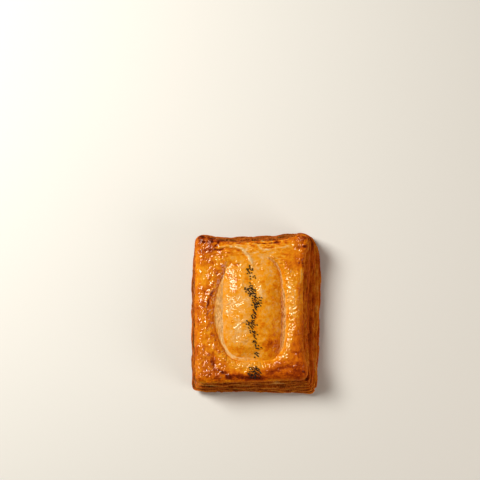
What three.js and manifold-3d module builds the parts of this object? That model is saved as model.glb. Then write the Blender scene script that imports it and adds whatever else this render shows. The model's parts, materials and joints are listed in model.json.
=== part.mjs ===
// A closed, rectangular puff-pastry tart: a puffed frame round a pressed oval crease, a low dome
// over the filling, flaky leaves of dough all round its sides, and a line of poppy seeds.
//
// Units are millimetres. +Z is up, +Y runs along the tart's length to its back edge and +X to its
// right. The origin is the middle of the flat base.

import * as THREE from 'three';
import { mergeVertices } from 'three/addons/utils/BufferGeometryUtils.js';
import Module from 'manifold-3d';

// ---------------------------------------------------------------------------------------------
// Driving dimensions

const FRAME_HEIGHT = 32.0;        // crown of the puffed frame
const CREASE_HEIGHT = { left: 28.4, right: 27.6, front: 28.0 };   // bottom of the pressed crease
const DOME_HEIGHT = 35.4;         // top of the dome
const SHEET_EDGE_HEIGHT = 25.4;   // cut edge of the top sheet
const LOWEST_LEAF_HEIGHT = 4.2;   // the widest leaf, a little above the base
const BASE_TUCK = 1.8;            // how far the base edge lies inside the widest leaf

// A sheet's outline: four corners, how far each side bows out between them, the power and the fall
// of that bow, and how square the corners are, as the power of the rounded square that the sheet is
// mapped from. A high power moves the whole side, and a high fall leaves a wide lobe at each corner.
const TOP_SHEET = {
  frontLeft: [-48.0, -55.8], frontRight: [41.8, -52.6], backLeft: [-48.0, 62.4], backRight: [42.8, 63.6],
  bow: { left: 0.6, right: -5.0, front: 0.2, back: -5.6 },
  bowPower: { left: 2, right: 5, front: 2, back: 5 },
  bowFall: { left: 1, right: 3, front: 1, back: 4 },
  cornerPower: { front: 20, backLeft: 20, backRight: 15 },
};
const LOW_LEAF = {
  frontLeft: [-51.4, -63.8], frontRight: [48.4, -64.9], backLeft: [-49.6, 63.2], backRight: [51.2, 67.2],
  bow: { left: 2.4, right: 2.7, front: 0.2, back: -2.6 },
  bowPower: { left: 2, right: 4, front: 2, back: 2 },
  bowFall: { left: 1, right: 1, front: 1, back: 1 },
  cornerPower: { front: 24, backLeft: 20, backRight: 7.5 },
};
// How the leaves step out from the top sheet to the widest leaf on each side: under 1, most of the
// step is taken just below the top sheet.
const SPREAD_POWER = { left: 0.8, right: 0.95, front: 0.8, back: 0.5 };

const DOME = { x: -3.2, y: 4.2, halfWidth: 23.2, halfLength: 39.3, power: 3.8 };
const DOME_FRONT_RIGHT = { power: 5.0, reach: 2.2 };   // that corner is squarer and reaches further out
const DOME_SHOULDER = 2.2;        // high powers make the dome flatter on top and steeper at its edge
const DOME_FALL = 0.9;
const CREASE_WIDTH = { left: 7.4, right: 4.2, front: 3.2, back: 2.6 };
const CREASE_TAPER = { middle: -2.0, halfLength: 38.0, power: 1.2 };   // the left side narrows to its ends
const CREASE_FRONT_LOSS = 0.62;   // share of its width that the front crease loses towards the right
const CREASE_LIP = 9.0;           // width of the slope from the crease up to the frame
const LIP_ROUNDNESS = 2.2;        // 1 is a straight slope, and more swells the slope like a pillow
const LIP_START = 0.85;           // where the slope starts, as a share of the crease's width
const CREASE_FADE_AT_BACK = 0.85; // share of its depth that the crease loses behind the dome

// The frame's crown is uneven: long, low swells of a height, lengths along X and Y, and a start.
const FRAME_SWELLS = [
  { height: 0.6, alongX: 17, alongY: 31, start: 0 },
  { height: 0.5, alongX: -40, alongY: 12, start: 1.2 },
];
const EDGE_RADIUS = 7.6;          // how the top sheet rolls over at its edge
const EDGE_STEEPNESS = 0.96;      // 1 would end the roll upright
const SEED_VALLEY = { depth: 0.9, halfWidth: 5.0 };

// Leaves that stand out round the sides, from the top sheet's edge down to the widest one. Each
// stands out or back by its own amount, and takes its own share of the height.
const LEAF_OUT = [0, 0.5, -0.7, 0.6, -0.3, 0.7, 0];
const LEAF_GAP = [1.1, 0.8, 1.2, 0.85, 1.1, 0.95];
const LEAF_GAP_WAVE = 0.34;       // how far a gap's share swells and shrinks round the tart
const LEAF_THICKNESS = 1.35;
const LEAF_RECESS = 1.9;          // how far the dough between two leaves is set back
const LEAF_EDGE_WAVE = 0.85;      // in plan
const LEAF_HEIGHT_WAVE = 0.6;     // up and down, all leaves together

// Rings of the mesh: shares of the way from the dome to the sheet's edge, widths of the crease and
// millimetres beyond them outside the dome, and levels inside it.
const FRAME_RINGS = [1, 0.95, 0.87, 0.74, 0.6];
const CREASE_RINGS = [[LIP_START, 3.8], [LIP_START, 1.4], [LIP_START, 0], [0.4, 0]];
const DOME_RINGS = [1, 0.93, 0.82, 0.62, 0.38, 0.16];
const REACH_STEPS = 8;            // steps in which a dome ring's reach settles
const BASE_MIDDLE_TUCK = 18;      // the base's inner ring
const SIDE_SEGMENTS = 28;         // mesh segments along the left and right sides
const END_SEGMENTS = 23;          // and along the front and back

// Poppy seeds: kidney-shaped, about a millimetre long, in a line over the dome and one small heap
// on the front of the frame.
const SEED_LENGTH = 1.15;
const SEED_WIDTH = 0.86;
const SEED_SUNK = 0.3;            // share of a seed's half thickness that is pressed into the crust
const SEED_SPACING = 1.12;
const SEED_LINE = [[-5.2, 38], [-4, 22], [-0.1, 8], [-2.6, -6], [-3, -11], [-0.9, -21], [0.6, -30], [0, -35]];
const SEED_STRETCHES = [
  { from: 38, to: 22, count: 12, spread: 1.5 },
  { from: 22, to: -13, count: 50, spread: 1.35 },
  { from: -13, to: -35, count: 22, spread: 1.5 },
];
const SEED_HEAP = { x: -2.6, y: -47.6, halfWidth: 3.6, halfLength: 3.3, count: 16 };
const STRAY_SHARE = 0.16;         // seeds that fell wide of the line
const STRAY_REACH = 2.6;          // and how many times further they lie
const TRIES_PER_SEED = 40;
const DRAW_SEED = 20261;

// ---------------------------------------------------------------------------------------------
// Small helpers

const lerp = (a, b, share) => a + (b - a) * share;
const clamp = (value, low, high) => Math.min(high, Math.max(low, value));

function smoothstep(low, high, value) {
  const share = clamp((value - low) / (high - low), 0, 1);
  return share * share * (3 - 2 * share);
}

// A smooth uneven wave round the tart, between about -1 and 1. Two nearby salts give like waves.
function wave(turn, salt) {
  return (Math.sin(5 * turn + 1.7 * salt) + 0.8 * Math.sin(11 * turn + 2.9 * salt + 1)
    + 0.6 * Math.sin(23 * turn + 4.3 * salt + 2)) / 2.4;
}

// Park and Miller's generator: the same draws every time.
function makeRandom(seed) {
  let state = seed;
  return () => {
    state = (state * 16807) % 2147483647;
    return state / 2147483647;
  };
}

// ---------------------------------------------------------------------------------------------
// Plan: outlines of the sheets and leaves

// The spokes that every ring is cut by: points round a unit square, corners included.
function makeSpokes() {
  const spokes = [];
  const walk = (fromX, fromY, toX, toY, count) => {
    for (let i = 0; i < count; i += 1) {
      spokes.push({ p: lerp(fromX, toX, i / count), q: lerp(fromY, toY, i / count) });
    }
  };
  walk(1, -1, 1, 1, SIDE_SEGMENTS);
  walk(1, 1, -1, 1, END_SEGMENTS);
  walk(-1, 1, -1, -1, SIDE_SEGMENTS);
  walk(-1, -1, 1, -1, END_SEGMENTS);
  spokes.forEach((spoke, index) => { spoke.turn = (index / spokes.length) * 2 * Math.PI; });
  return spokes;
}

// Pulls a point of the unit square in to a rounded square with this sheet's corners.
function roundCorner(sheet, { p, q }) {
  const { front, backLeft, backRight } = sheet.cornerPower;
  const back = p > 0 ? backRight : backLeft;
  const power = q > 0 ? back : front;
  const reach = (Math.abs(p) ** power + Math.abs(q) ** power) ** (-1 / power);
  return { p: p * reach, q: q * reach };
}

// Where a spoke meets a sheet's edge, in plan.
function placeOnSheet(sheet, spoke) {
  const { p, q } = roundCorner(sheet, spoke);
  const right = (p + 1) / 2;
  const back = (q + 1) / 2;
  const corner = (axis) => lerp(
    lerp(sheet.frontLeft[axis], sheet.frontRight[axis], right),
    lerp(sheet.backLeft[axis], sheet.backRight[axis], right), back);
  const across = p > 0 ? 'right' : 'left';
  const along = q > 0 ? 'back' : 'front';
  const bowed = (side, place) => sheet.bow[side]
    * (1 - Math.abs(place) ** sheet.bowPower[side]) ** sheet.bowFall[side];
  return {
    x: corner(0) + bowed(across, q) * p * Math.abs(p) ** 2,
    y: corner(1) + bowed(along, p) * q * Math.abs(q) ** 2,
  };
}

// The outline part of the way down the side: 0 is the top sheet's edge and 1 the widest leaf.
function placeOnSide(spoke, down) {
  const top = placeOnSheet(TOP_SHEET, spoke);
  const low = placeOnSheet(LOW_LEAF, spoke);
  const toRight = smoothstep(-1, 1, spoke.p);
  const toBack = smoothstep(-1, 1, spoke.q);
  const shareX = lerp(down ** SPREAD_POWER.left, down ** SPREAD_POWER.right, toRight);
  const shareY = lerp(down ** SPREAD_POWER.front, down ** SPREAD_POWER.back, toBack);
  return { x: lerp(top.x, low.x, shareX), y: lerp(top.y, low.y, shareY) };
}

// Moves a point of an outline straight out from its side, or slantwise at a corner.
function moveOut(point, spoke, distance) {
  const across = spoke.p ** 9;
  const along = spoke.q ** 9;
  const length = Math.hypot(across, along);
  return { x: point.x + distance * across / length, y: point.y + distance * along / length };
}

// ---------------------------------------------------------------------------------------------
// Heights of the top

// A point's place on the dome: -1 to 1 across and along it.
function placeOnDome(x, y) {
  return { across: (x - DOME.x) / DOME.halfWidth, along: (y - DOME.y) / DOME.halfLength };
}

// How far out from the dome's middle a point lies: 1 on the dome's edge.
function domeLevel(x, y) {
  const { across, along } = placeOnDome(x, y);
  const corner = smoothstep(-0.15, 0.45, across) * smoothstep(0.3, 0.8, -along);
  const power = lerp(DOME.power, DOME_FRONT_RIGHT.power, corner);
  const stretch = 1 + (corner * DOME_FRONT_RIGHT.reach) / DOME.halfLength;
  return (Math.abs(across) ** power + Math.abs(along / stretch) ** power) ** (1 / power);
}

// Distance outside the dome's edge, in millimetres.
function beyondDome(x, y) {
  const level = domeLevel(x, y);
  return Math.hypot(x - DOME.x, y - DOME.y) * (1 - 1 / level);
}

function creaseWidth(x, y) {
  const { across, along } = placeOnDome(x, y);
  const fromMiddle = clamp((y - CREASE_TAPER.middle) / CREASE_TAPER.halfLength, -0.9, 0.9);
  const left = CREASE_WIDTH.left * (1 - fromMiddle ** 2) ** CREASE_TAPER.power;
  const side = across > 0 ? CREASE_WIDTH.right : left;
  const front = CREASE_WIDTH.front * (1 - CREASE_FRONT_LOSS * smoothstep(-0.3, 0.3, across));
  const end = along > 0 ? CREASE_WIDTH.back : front;
  return lerp(side, end, smoothstep(-0.3, 0.1, Math.abs(along) - Math.abs(across)));
}

function creaseFloor(x, y) {
  const { across, along } = placeOnDome(x, y);
  const side = lerp(CREASE_HEIGHT.left, CREASE_HEIGHT.right, smoothstep(-0.6, 0.6, across));
  const floor = lerp(side, CREASE_HEIGHT.front, smoothstep(0.6, 1, -along));
  return lerp(floor, FRAME_HEIGHT, CREASE_FADE_AT_BACK * smoothstep(0.7, 1.05, along));
}

function frameHeight(x, y) {
  const swell = ({ height, alongX, alongY, start }) => height * Math.sin(x / alongX + y / alongY + start);
  return FRAME_SWELLS.reduce((total, one) => total + swell(one), FRAME_HEIGHT);
}

// Middle of the line of seeds at one place along the tart.
function seedLineX(y) {
  for (let i = 1; i < SEED_LINE.length; i += 1) {
    const [fromX, fromY] = SEED_LINE[i - 1];
    const [toX, toY] = SEED_LINE[i];
    if (y >= toY) return lerp(fromX, toX, clamp((fromY - y) / (fromY - toY), 0, 1));
  }
  return SEED_LINE[SEED_LINE.length - 1][0];
}

function topHeight(x, y) {
  const floor = creaseFloor(x, y);
  const beyond = beyondDome(x, y);
  if (beyond > 0) {
    const climbed = clamp((beyond - creaseWidth(x, y) * LIP_START) / CREASE_LIP, 0, 1);
    return lerp(floor, frameHeight(x, y), 1 - (1 - climbed) ** LIP_ROUNDNESS);
  }
  const rise = (1 - domeLevel(x, y) ** DOME_SHOULDER) ** DOME_FALL;
  const valley = Math.exp(-(((x - seedLineX(y)) / SEED_VALLEY.halfWidth) ** 2));
  return lerp(floor, DOME_HEIGHT, rise) - SEED_VALLEY.depth * valley * rise;
}

// ---------------------------------------------------------------------------------------------
// The crust: rings from the middle of the base, up the sides and over the top to the dome

// The top sheet rolls over at its edge: a point a given distance inside the edge drops by this much.
function edgeDrop(inside) {
  const share = clamp(1 - inside / EDGE_RADIUS, 0, 1);
  return 1 - Math.sqrt(1 - EDGE_STEEPNESS * share * share);
}

// Height of the middle of a leaf's edge. The gaps between leaves differ round the tart.
function leafHeight(spoke, leaf) {
  const gaps = LEAF_GAP.map((gap, index) => gap * (1 + LEAF_GAP_WAVE * wave(spoke.turn, 5.3 * index + 2)));
  const sum = (list) => list.reduce((total, gap) => total + gap, 0);
  const down = sum(gaps.slice(0, leaf)) / sum(gaps);
  const loose = 1 - down ** 3;
  return lerp(SHEET_EDGE_HEIGHT, LOWEST_LEAF_HEIGHT, down) + loose * LEAF_HEIGHT_WAVE * wave(spoke.turn, 0.3);
}

// One leaf's edge, lifted to its upper side (1) or lowered to its under side (-1).
function leafEdge(spoke, leaf, side) {
  const down = leaf / LEAF_GAP.length;
  const out = leaf === 0 ? 0 : LEAF_OUT[leaf] + LEAF_EDGE_WAVE * wave(spoke.turn, 3.1 * leaf + 1);
  const point = moveOut(placeOnSide(spoke, down), spoke, out);
  return new THREE.Vector3(point.x, point.y, leafHeight(spoke, leaf) + side * LEAF_THICKNESS / 2);
}

// The dough set back between one leaf and the next below it.
function leafRecess(spoke, leaf) {
  const point = moveOut(placeOnSide(spoke, (leaf + 0.5) / LEAF_GAP.length), spoke, -LEAF_RECESS);
  const height = (leafHeight(spoke, leaf) + leafHeight(spoke, leaf + 1)) / 2;
  return new THREE.Vector3(point.x, point.y, height);
}

function sideRings(spokes) {
  const rings = [];
  const lowest = LEAF_GAP.length;
  for (let leaf = lowest; leaf >= 0; leaf -= 1) {
    if (leaf < lowest) rings.push(spokes.map((spoke) => leafRecess(spoke, leaf)));
    rings.push(spokes.map((spoke) => leafEdge(spoke, leaf, -1)));
    if (leaf > 0) rings.push(spokes.map((spoke) => leafEdge(spoke, leaf, 1)));
  }
  return rings;
}

// The base's flat ring, tucked in under the widest leaf.
function baseRing(spokes, tuck) {
  return spokes.map((spoke) => {
    const point = moveOut(placeOnSheet(LOW_LEAF, spoke), spoke, -tuck);
    return new THREE.Vector3(point.x, point.y, 0);
  });
}

// A point on one level of the dome, on the spoke that also meets the sheet's edge. The corner that
// reaches further out changes with the place itself, so the reach is found in a few steps.
function onDome(spoke, level) {
  const at = (reach) => ({
    x: DOME.x + DOME.halfWidth * spoke.p * reach,
    y: DOME.y + DOME.halfLength * spoke.q * reach,
  });
  let reach = level;
  for (let step = 0; step < REACH_STEPS; step += 1) {
    const { x, y } = at(reach);
    reach *= level / domeLevel(x, y);
  }
  return at(reach);
}

// A ring of the frame: a share of the way from the dome's edge out to the sheet's edge.
function frameRing(spokes, share) {
  return spokes.map((spoke) => {
    const edge = placeOnSheet(TOP_SHEET, spoke);
    const inner = onDome(spoke, 1);
    const x = lerp(inner.x, edge.x, share);
    const y = lerp(inner.y, edge.y, share);
    const inside = Math.hypot(edge.x - x, edge.y - y);
    const edgeHeight = leafHeight(spoke, 0) + LEAF_THICKNESS / 2;
    return new THREE.Vector3(x, y, lerp(topHeight(x, y), edgeHeight, edgeDrop(inside)));
  });
}

// A ring outside the dome, for the crease and its lip.
function creaseRing(spokes, widths, further) {
  return spokes.map((spoke) => {
    const inner = onDome(spoke, 1);
    const length = Math.hypot(inner.x - DOME.x, inner.y - DOME.y);
    const share = 1 + (creaseWidth(inner.x, inner.y) * widths + further) / length;
    const x = DOME.x + (inner.x - DOME.x) * share;
    const y = DOME.y + (inner.y - DOME.y) * share;
    return new THREE.Vector3(x, y, topHeight(x, y));
  });
}

function domeRing(spokes, level) {
  return spokes.map((spoke) => {
    const { x, y } = onDome(spoke, level);
    return new THREE.Vector3(x, y, topHeight(x, y));
  });
}

// Joins closed rings with a strip of triangles between each two, and closes both ends with a fan.
function joinRings(rings, firstTip, lastTip) {
  const count = rings[0].length;
  const points = [firstTip, ...rings.flat(), lastTip];
  const at = (ring, spoke) => 1 + ring * count + (spoke % count);
  const faces = [];
  for (let spoke = 0; spoke < count; spoke += 1) {
    faces.push(0, at(0, spoke + 1), at(0, spoke));
    for (let ring = 0; ring + 1 < rings.length; ring += 1) {
      const [a, b] = [at(ring, spoke), at(ring, spoke + 1)];
      const [c, d] = [at(ring + 1, spoke + 1), at(ring + 1, spoke)];
      faces.push(a, b, c, a, c, d);
    }
    faces.push(points.length - 1, at(rings.length - 1, spoke), at(rings.length - 1, spoke + 1));
  }
  const geometry = new THREE.BufferGeometry().setFromPoints(points);
  geometry.setIndex(faces);
  return geometry;
}

function crustGeometry() {
  const spokes = makeSpokes();
  const rings = [
    baseRing(spokes, BASE_MIDDLE_TUCK),
    baseRing(spokes, BASE_TUCK),
    ...sideRings(spokes),
    ...FRAME_RINGS.map((share) => frameRing(spokes, share)),
    ...CREASE_RINGS.map(([widths, further]) => creaseRing(spokes, widths, further)),
    ...DOME_RINGS.map((level) => domeRing(spokes, level)),
  ];
  const peak = new THREE.Vector3(DOME.x, DOME.y, topHeight(DOME.x, DOME.y));
  return joinRings(rings, new THREE.Vector3(0, 0, 0), peak);
}

// ---------------------------------------------------------------------------------------------
// Poppy seeds

// Places for the seeds in plan, each clear of the ones before it.
function seedPlaces(random) {
  const places = [];
  const tryPlace = (x, y) => {
    const clear = places.every((other) => Math.hypot(other.x - x, other.y - y) >= SEED_SPACING);
    if (clear) places.push({ x, y });
    return clear;
  };
  const repeat = (count, draw) => {
    for (let placed = 0, tries = 0; placed < count && tries < count * TRIES_PER_SEED; tries += 1) {
      if (tryPlace(...draw())) placed += 1;
    }
  };
  for (const { from, to, count, spread } of SEED_STRETCHES) {
    repeat(count, () => {
      const y = lerp(from, to, random());
      const wide = random() < STRAY_SHARE ? STRAY_REACH : 1;
      return [seedLineX(y) + wide * spread * (random() + random() - 1), y];
    });
  }
  repeat(SEED_HEAP.count, () => [
    SEED_HEAP.x + SEED_HEAP.halfWidth * (random() + random() - 1),
    SEED_HEAP.y + SEED_HEAP.halfLength * (random() + random() - 1)]);
  return places;
}

// Drops a plumb line on the crust: the point where it lands.
function landOn(mesh, x, y) {
  const above = new THREE.Vector3(x, y, DOME_HEIGHT * 2);
  const line = new THREE.Raycaster(above, new THREE.Vector3(0, 0, -1));
  return line.intersectObject(mesh)[0].point;
}

function seedGeometry(place, crust, random) {
  const seed = new THREE.IcosahedronGeometry(SEED_LENGTH / 2, 0);
  seed.scale(1, SEED_WIDTH / SEED_LENGTH, SEED_WIDTH / SEED_LENGTH);
  seed.rotateX(random() * Math.PI);
  seed.rotateZ(random() * Math.PI);
  const ground = landOn(crust, place.x, place.y);
  seed.translate(ground.x, ground.y, ground.z + (1 - SEED_SUNK) * SEED_WIDTH / 2);
  return seed;
}

// ---------------------------------------------------------------------------------------------
// Joining into one solid

function toManifold(wasm, geometry) {
  const bare = geometry.clone();
  bare.deleteAttribute('normal');
  bare.deleteAttribute('uv');
  const merged = mergeVertices(bare, 1e-4);
  return new wasm.Manifold(new wasm.Mesh({
    numProp: 3,
    vertProperties: new Float32Array(merged.attributes.position.array),
    triVerts: new Uint32Array(merged.index.array),
  }));
}

function toGeometry(manifold) {
  const { vertProperties, triVerts } = manifold.getMesh();
  const geometry = new THREE.BufferGeometry();
  geometry.setAttribute('position', new THREE.BufferAttribute(new Float32Array(vertProperties), 3));
  geometry.setIndex(new THREE.BufferAttribute(new Uint32Array(triVerts), 1));
  geometry.computeVertexNormals();
  return geometry;
}

async function makePastry() {
  const wasm = await Module();
  wasm.setup();
  const random = makeRandom(DRAW_SEED);
  const crust = crustGeometry();
  const ground = new THREE.Mesh(crust, new THREE.MeshStandardMaterial({ side: THREE.DoubleSide }));
  let solid = toManifold(wasm, crust);
  for (const place of seedPlaces(random)) {
    solid = solid.add(toManifold(wasm, seedGeometry(place, ground, random)));
  }
  const baked = new THREE.MeshStandardMaterial({ color: '#d4842c', roughness: 0.4, metalness: 0 });
  const pastry = new THREE.Mesh(toGeometry(solid), baked);
  pastry.name = 'pastry';
  return pastry;
}

const tart = new THREE.Group();
tart.add(await makePastry());

export default tart;
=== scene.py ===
"""A closed, rectangular puff-pastry tart, dressed for the camera.

The tart is built of its own sheets: a glazed top sheet with a puffed frame, a pressed crease and a
low dome, a stack of thin flaky leaves round the sides, the dough between them, a base sheet and poppy
seeds. Shapes are worked out in millimetres from the sizes below and written to the meshes in metres,
+Z up, +Y to the tart's back edge, with the origin at the middle of the flat base.
"""
import json
import logging
import math
from dataclasses import dataclass, field
from enum import Enum
from itertools import product

import bpy
import numpy as np
from mathutils import Matrix, Vector
from mathutils.bvhtree import BVHTree

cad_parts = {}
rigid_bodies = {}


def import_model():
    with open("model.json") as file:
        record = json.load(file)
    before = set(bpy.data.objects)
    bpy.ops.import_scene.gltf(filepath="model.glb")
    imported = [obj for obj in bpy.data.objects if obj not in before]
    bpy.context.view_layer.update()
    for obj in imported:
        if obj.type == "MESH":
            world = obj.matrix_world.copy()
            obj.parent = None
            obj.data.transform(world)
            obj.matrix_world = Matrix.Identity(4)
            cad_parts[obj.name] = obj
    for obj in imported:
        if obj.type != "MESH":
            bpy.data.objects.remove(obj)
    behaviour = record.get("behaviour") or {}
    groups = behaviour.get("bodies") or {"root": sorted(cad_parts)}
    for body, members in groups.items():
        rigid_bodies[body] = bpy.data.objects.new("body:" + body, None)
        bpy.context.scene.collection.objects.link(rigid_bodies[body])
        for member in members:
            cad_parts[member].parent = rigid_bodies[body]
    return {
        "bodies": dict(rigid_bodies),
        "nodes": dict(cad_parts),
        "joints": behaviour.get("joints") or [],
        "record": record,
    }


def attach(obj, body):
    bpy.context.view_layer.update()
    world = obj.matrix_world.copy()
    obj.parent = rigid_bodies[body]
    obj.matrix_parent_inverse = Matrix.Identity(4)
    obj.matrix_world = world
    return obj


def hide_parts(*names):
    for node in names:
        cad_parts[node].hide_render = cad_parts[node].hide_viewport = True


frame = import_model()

LOG = logging.getLogger("tart")
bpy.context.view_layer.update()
MM = 0.001
CAD_NODE = "pastry"
BODY = "root"


# ----------------------------------------------------------------------------------------------
# Numbers and noise


Values = float | np.ndarray


def lerp(low: Values, high: Values, share: Values) -> Values:
    """Returns the value a share of the way from low to high."""
    return low + (high - low) * share


def smoothstep(low: float, high: float, value: np.ndarray) -> np.ndarray:
    """Returns 0 below low, 1 above high and a smooth slope between them."""
    share = np.clip((value - low) / (high - low), 0.0, 1.0)
    return share * share * (3.0 - 2.0 * share)


def bell(value: np.ndarray, half_width: Values) -> np.ndarray:
    """Returns a smooth hump of height 1 round 0."""
    return np.exp(-((value / half_width) ** 2))


def ring_level(p: np.ndarray, q: np.ndarray) -> np.ndarray:
    """Returns almost 0 at the unit square's middle and 1 on its edge."""
    return np.maximum(np.maximum(np.abs(p), np.abs(q)), 1e-9)


def flat_points(x: np.ndarray, y: np.ndarray) -> np.ndarray:
    """Returns points at height 0 from their places across and along."""
    return np.stack((x, y, np.zeros_like(x)), axis=-1)


@dataclass(frozen=True)
class Fade:
    """A smooth step from 0 at its start to 1 at its end."""

    start: float
    end: float

    def at(self, value: np.ndarray) -> np.ndarray:
        """Gives how much of the step is done at each value."""
        return smoothstep(self.start, self.end, value)

    def before(self, value: np.ndarray) -> np.ndarray:
        """Gives how much of the step is still to come at each value."""
        return 1.0 - smoothstep(self.start, self.end, value)


@dataclass(frozen=True)
class Hump:
    """A smooth hump of height 1."""

    middle: float
    half_width: float

    def at(self, value: np.ndarray) -> np.ndarray:
        """Gives the hump's height at each value."""
        return bell(value - self.middle, self.half_width)


class Noise:
    """Repeatable noise over points in millimetres: the same points always give the same values."""

    MIX = (np.uint32(374761393), np.uint32(668265263), np.uint32(2246822519))
    STIR = np.uint32(1274126177)

    @classmethod
    def draws(cls, cells: np.ndarray, salt: int) -> np.ndarray:
        """Draws one number for each whole-number cell.

        Args:
            cells: Whole numbers in the last axis of three.
            salt: Picks one of many independent sets of draws.

        Returns:
            Even draws from 0 to 1.
        """
        whole = cells.astype(np.int64).astype(np.uint32)
        mixed = whole[..., 0] * cls.MIX[0] + whole[..., 1] * cls.MIX[1] + whole[..., 2] * cls.MIX[2]
        mixed = mixed + np.uint32((salt * 3266489917) % 2**32)
        mixed = (mixed ^ (mixed >> np.uint32(13))) * cls.STIR
        mixed = (mixed ^ (mixed >> np.uint32(16))) * cls.MIX[2]
        return (mixed ^ (mixed >> np.uint32(15))).astype(np.float64) / 2.0**32

    @classmethod
    def smooth(cls, points: np.ndarray, size: float, salt: int) -> np.ndarray:
        """Makes smooth uneven swells.

        Args:
            points: Places in millimetres, with the last axis of three.
            size: Width of a swell in millimetres.
            salt: Picks one of many independent patterns.

        Returns:
            Values from about -1 to 1.
        """
        scaled = points / size
        base = np.floor(scaled)
        part = scaled - base
        fade = part**3 * (part * (part * 6.0 - 15.0) + 10.0)
        total = np.zeros(points.shape[:-1])
        for corner in product((0, 1), repeat=3):
            cell = base + corner
            weight = np.ones_like(total)
            slope = np.zeros_like(total)
            for axis, side in enumerate(corner):
                weight = weight * (fade[..., axis] if side else 1.0 - fade[..., axis])
                pull = 2.0 * cls.draws(cell, salt * 3 + axis) - 1.0
                slope += pull * (part[..., axis] - side)
            total += weight * slope
        return total * 1.7

    @classmethod
    def fractal(cls, points: np.ndarray, size: float, octaves: int, salt: int) -> np.ndarray:
        """Adds up swells of ever smaller size.

        Args:
            points: Places in millimetres.
            size: Width of the largest swell.
            octaves: How many sizes, each half the last.
            salt: Picks the pattern.

        Returns:
            Values from about -1 to 1.
        """
        total = np.zeros(points.shape[:-1])
        for octave in range(octaves):
            total += cls.smooth(points, size / 2**octave, salt + 17 * octave) / 2**octave
        return total / 1.6

    @classmethod
    def ridges(cls, points: np.ndarray, size: float, salt: int) -> np.ndarray:
        """Makes thin crests between broad hollows, as wrinkled skin has, from 0 to 1."""
        return (1.0 - np.abs(np.clip(cls.smooth(points, size, salt) * 1.6, -1.0, 1.0))) ** 2

    @classmethod
    def blisters(cls, points: np.ndarray, size: float, share: float, salt: int) -> np.ndarray:
        """Makes round bubbles of mixed sizes, scattered without a grid.

        Args:
            points: Places in millimetres.
            size: Distance between neighbouring bubbles.
            share: Share of the places that hold one.
            salt: Picks the pattern.

        Returns:
            0 between bubbles, up to 1 on the largest one's top.
        """
        scaled = points / size
        base = np.floor(scaled)
        best = np.zeros(points.shape[:-1])
        for shift in product((-1, 0, 1), repeat=3):
            cell = base + shift
            there = cls.draws(cell, salt) < share
            radius = 0.35 + 0.5 * cls.draws(cell, salt + 1)
            away = np.zeros_like(best)
            for axis in range(3):
                middle = cell[..., axis] + 0.1 + 0.8 * cls.draws(cell, salt + 2 + axis)
                away += (scaled[..., axis] - middle) ** 2
            bump = np.clip(1.0 - away / radius**2, 0.0, 1.0) ** 1.4 * radius / 0.85
            best = np.maximum(best, np.where(there, bump, 0.0))
        return best


@dataclass(frozen=True)
class Pattern:
    """One pattern of uneven swells over points in millimetres.

    Its fields are the largest swell's width, how many sizes there are, each half the last, the salt
    that picks the pattern, its strength, and how far it is squeezed on each axis: less than 1 draws
    it out into streaks.
    """

    size: float
    octaves: int
    salt: int
    strength: float = 1.0
    squeeze: tuple[float, float, float] = (1.0, 1.0, 1.0)

    def over(self, points: np.ndarray) -> np.ndarray:
        """Gives the pattern's value at each point, from about minus its strength to its strength."""
        return self.strength * Noise.fractal(points * self.squeeze, self.size, self.octaves, self.salt)


class Draws:
    """Park and Miller's generator, which the solid's seeds are placed by as well."""

    def __init__(self, seed: int) -> None:
        """Starts the row of draws from a seed."""
        self.state = seed

    def next(self) -> float:
        """Returns the next even draw from 0 to 1."""
        self.state = (self.state * 16807) % 2147483647
        return self.state / 2147483647


# ----------------------------------------------------------------------------------------------
# The tart's form


class Side(Enum):
    """The four sides of a sheet, as seen from above."""

    LEFT = "left"
    RIGHT = "right"
    FRONT = "front"
    BACK = "back"


class Corner(Enum):
    """The four corners of a sheet, in the order in which an outline lists them."""

    FRONT_LEFT = 0
    FRONT_RIGHT = 1
    BACK_LEFT = 2
    BACK_RIGHT = 3


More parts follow.
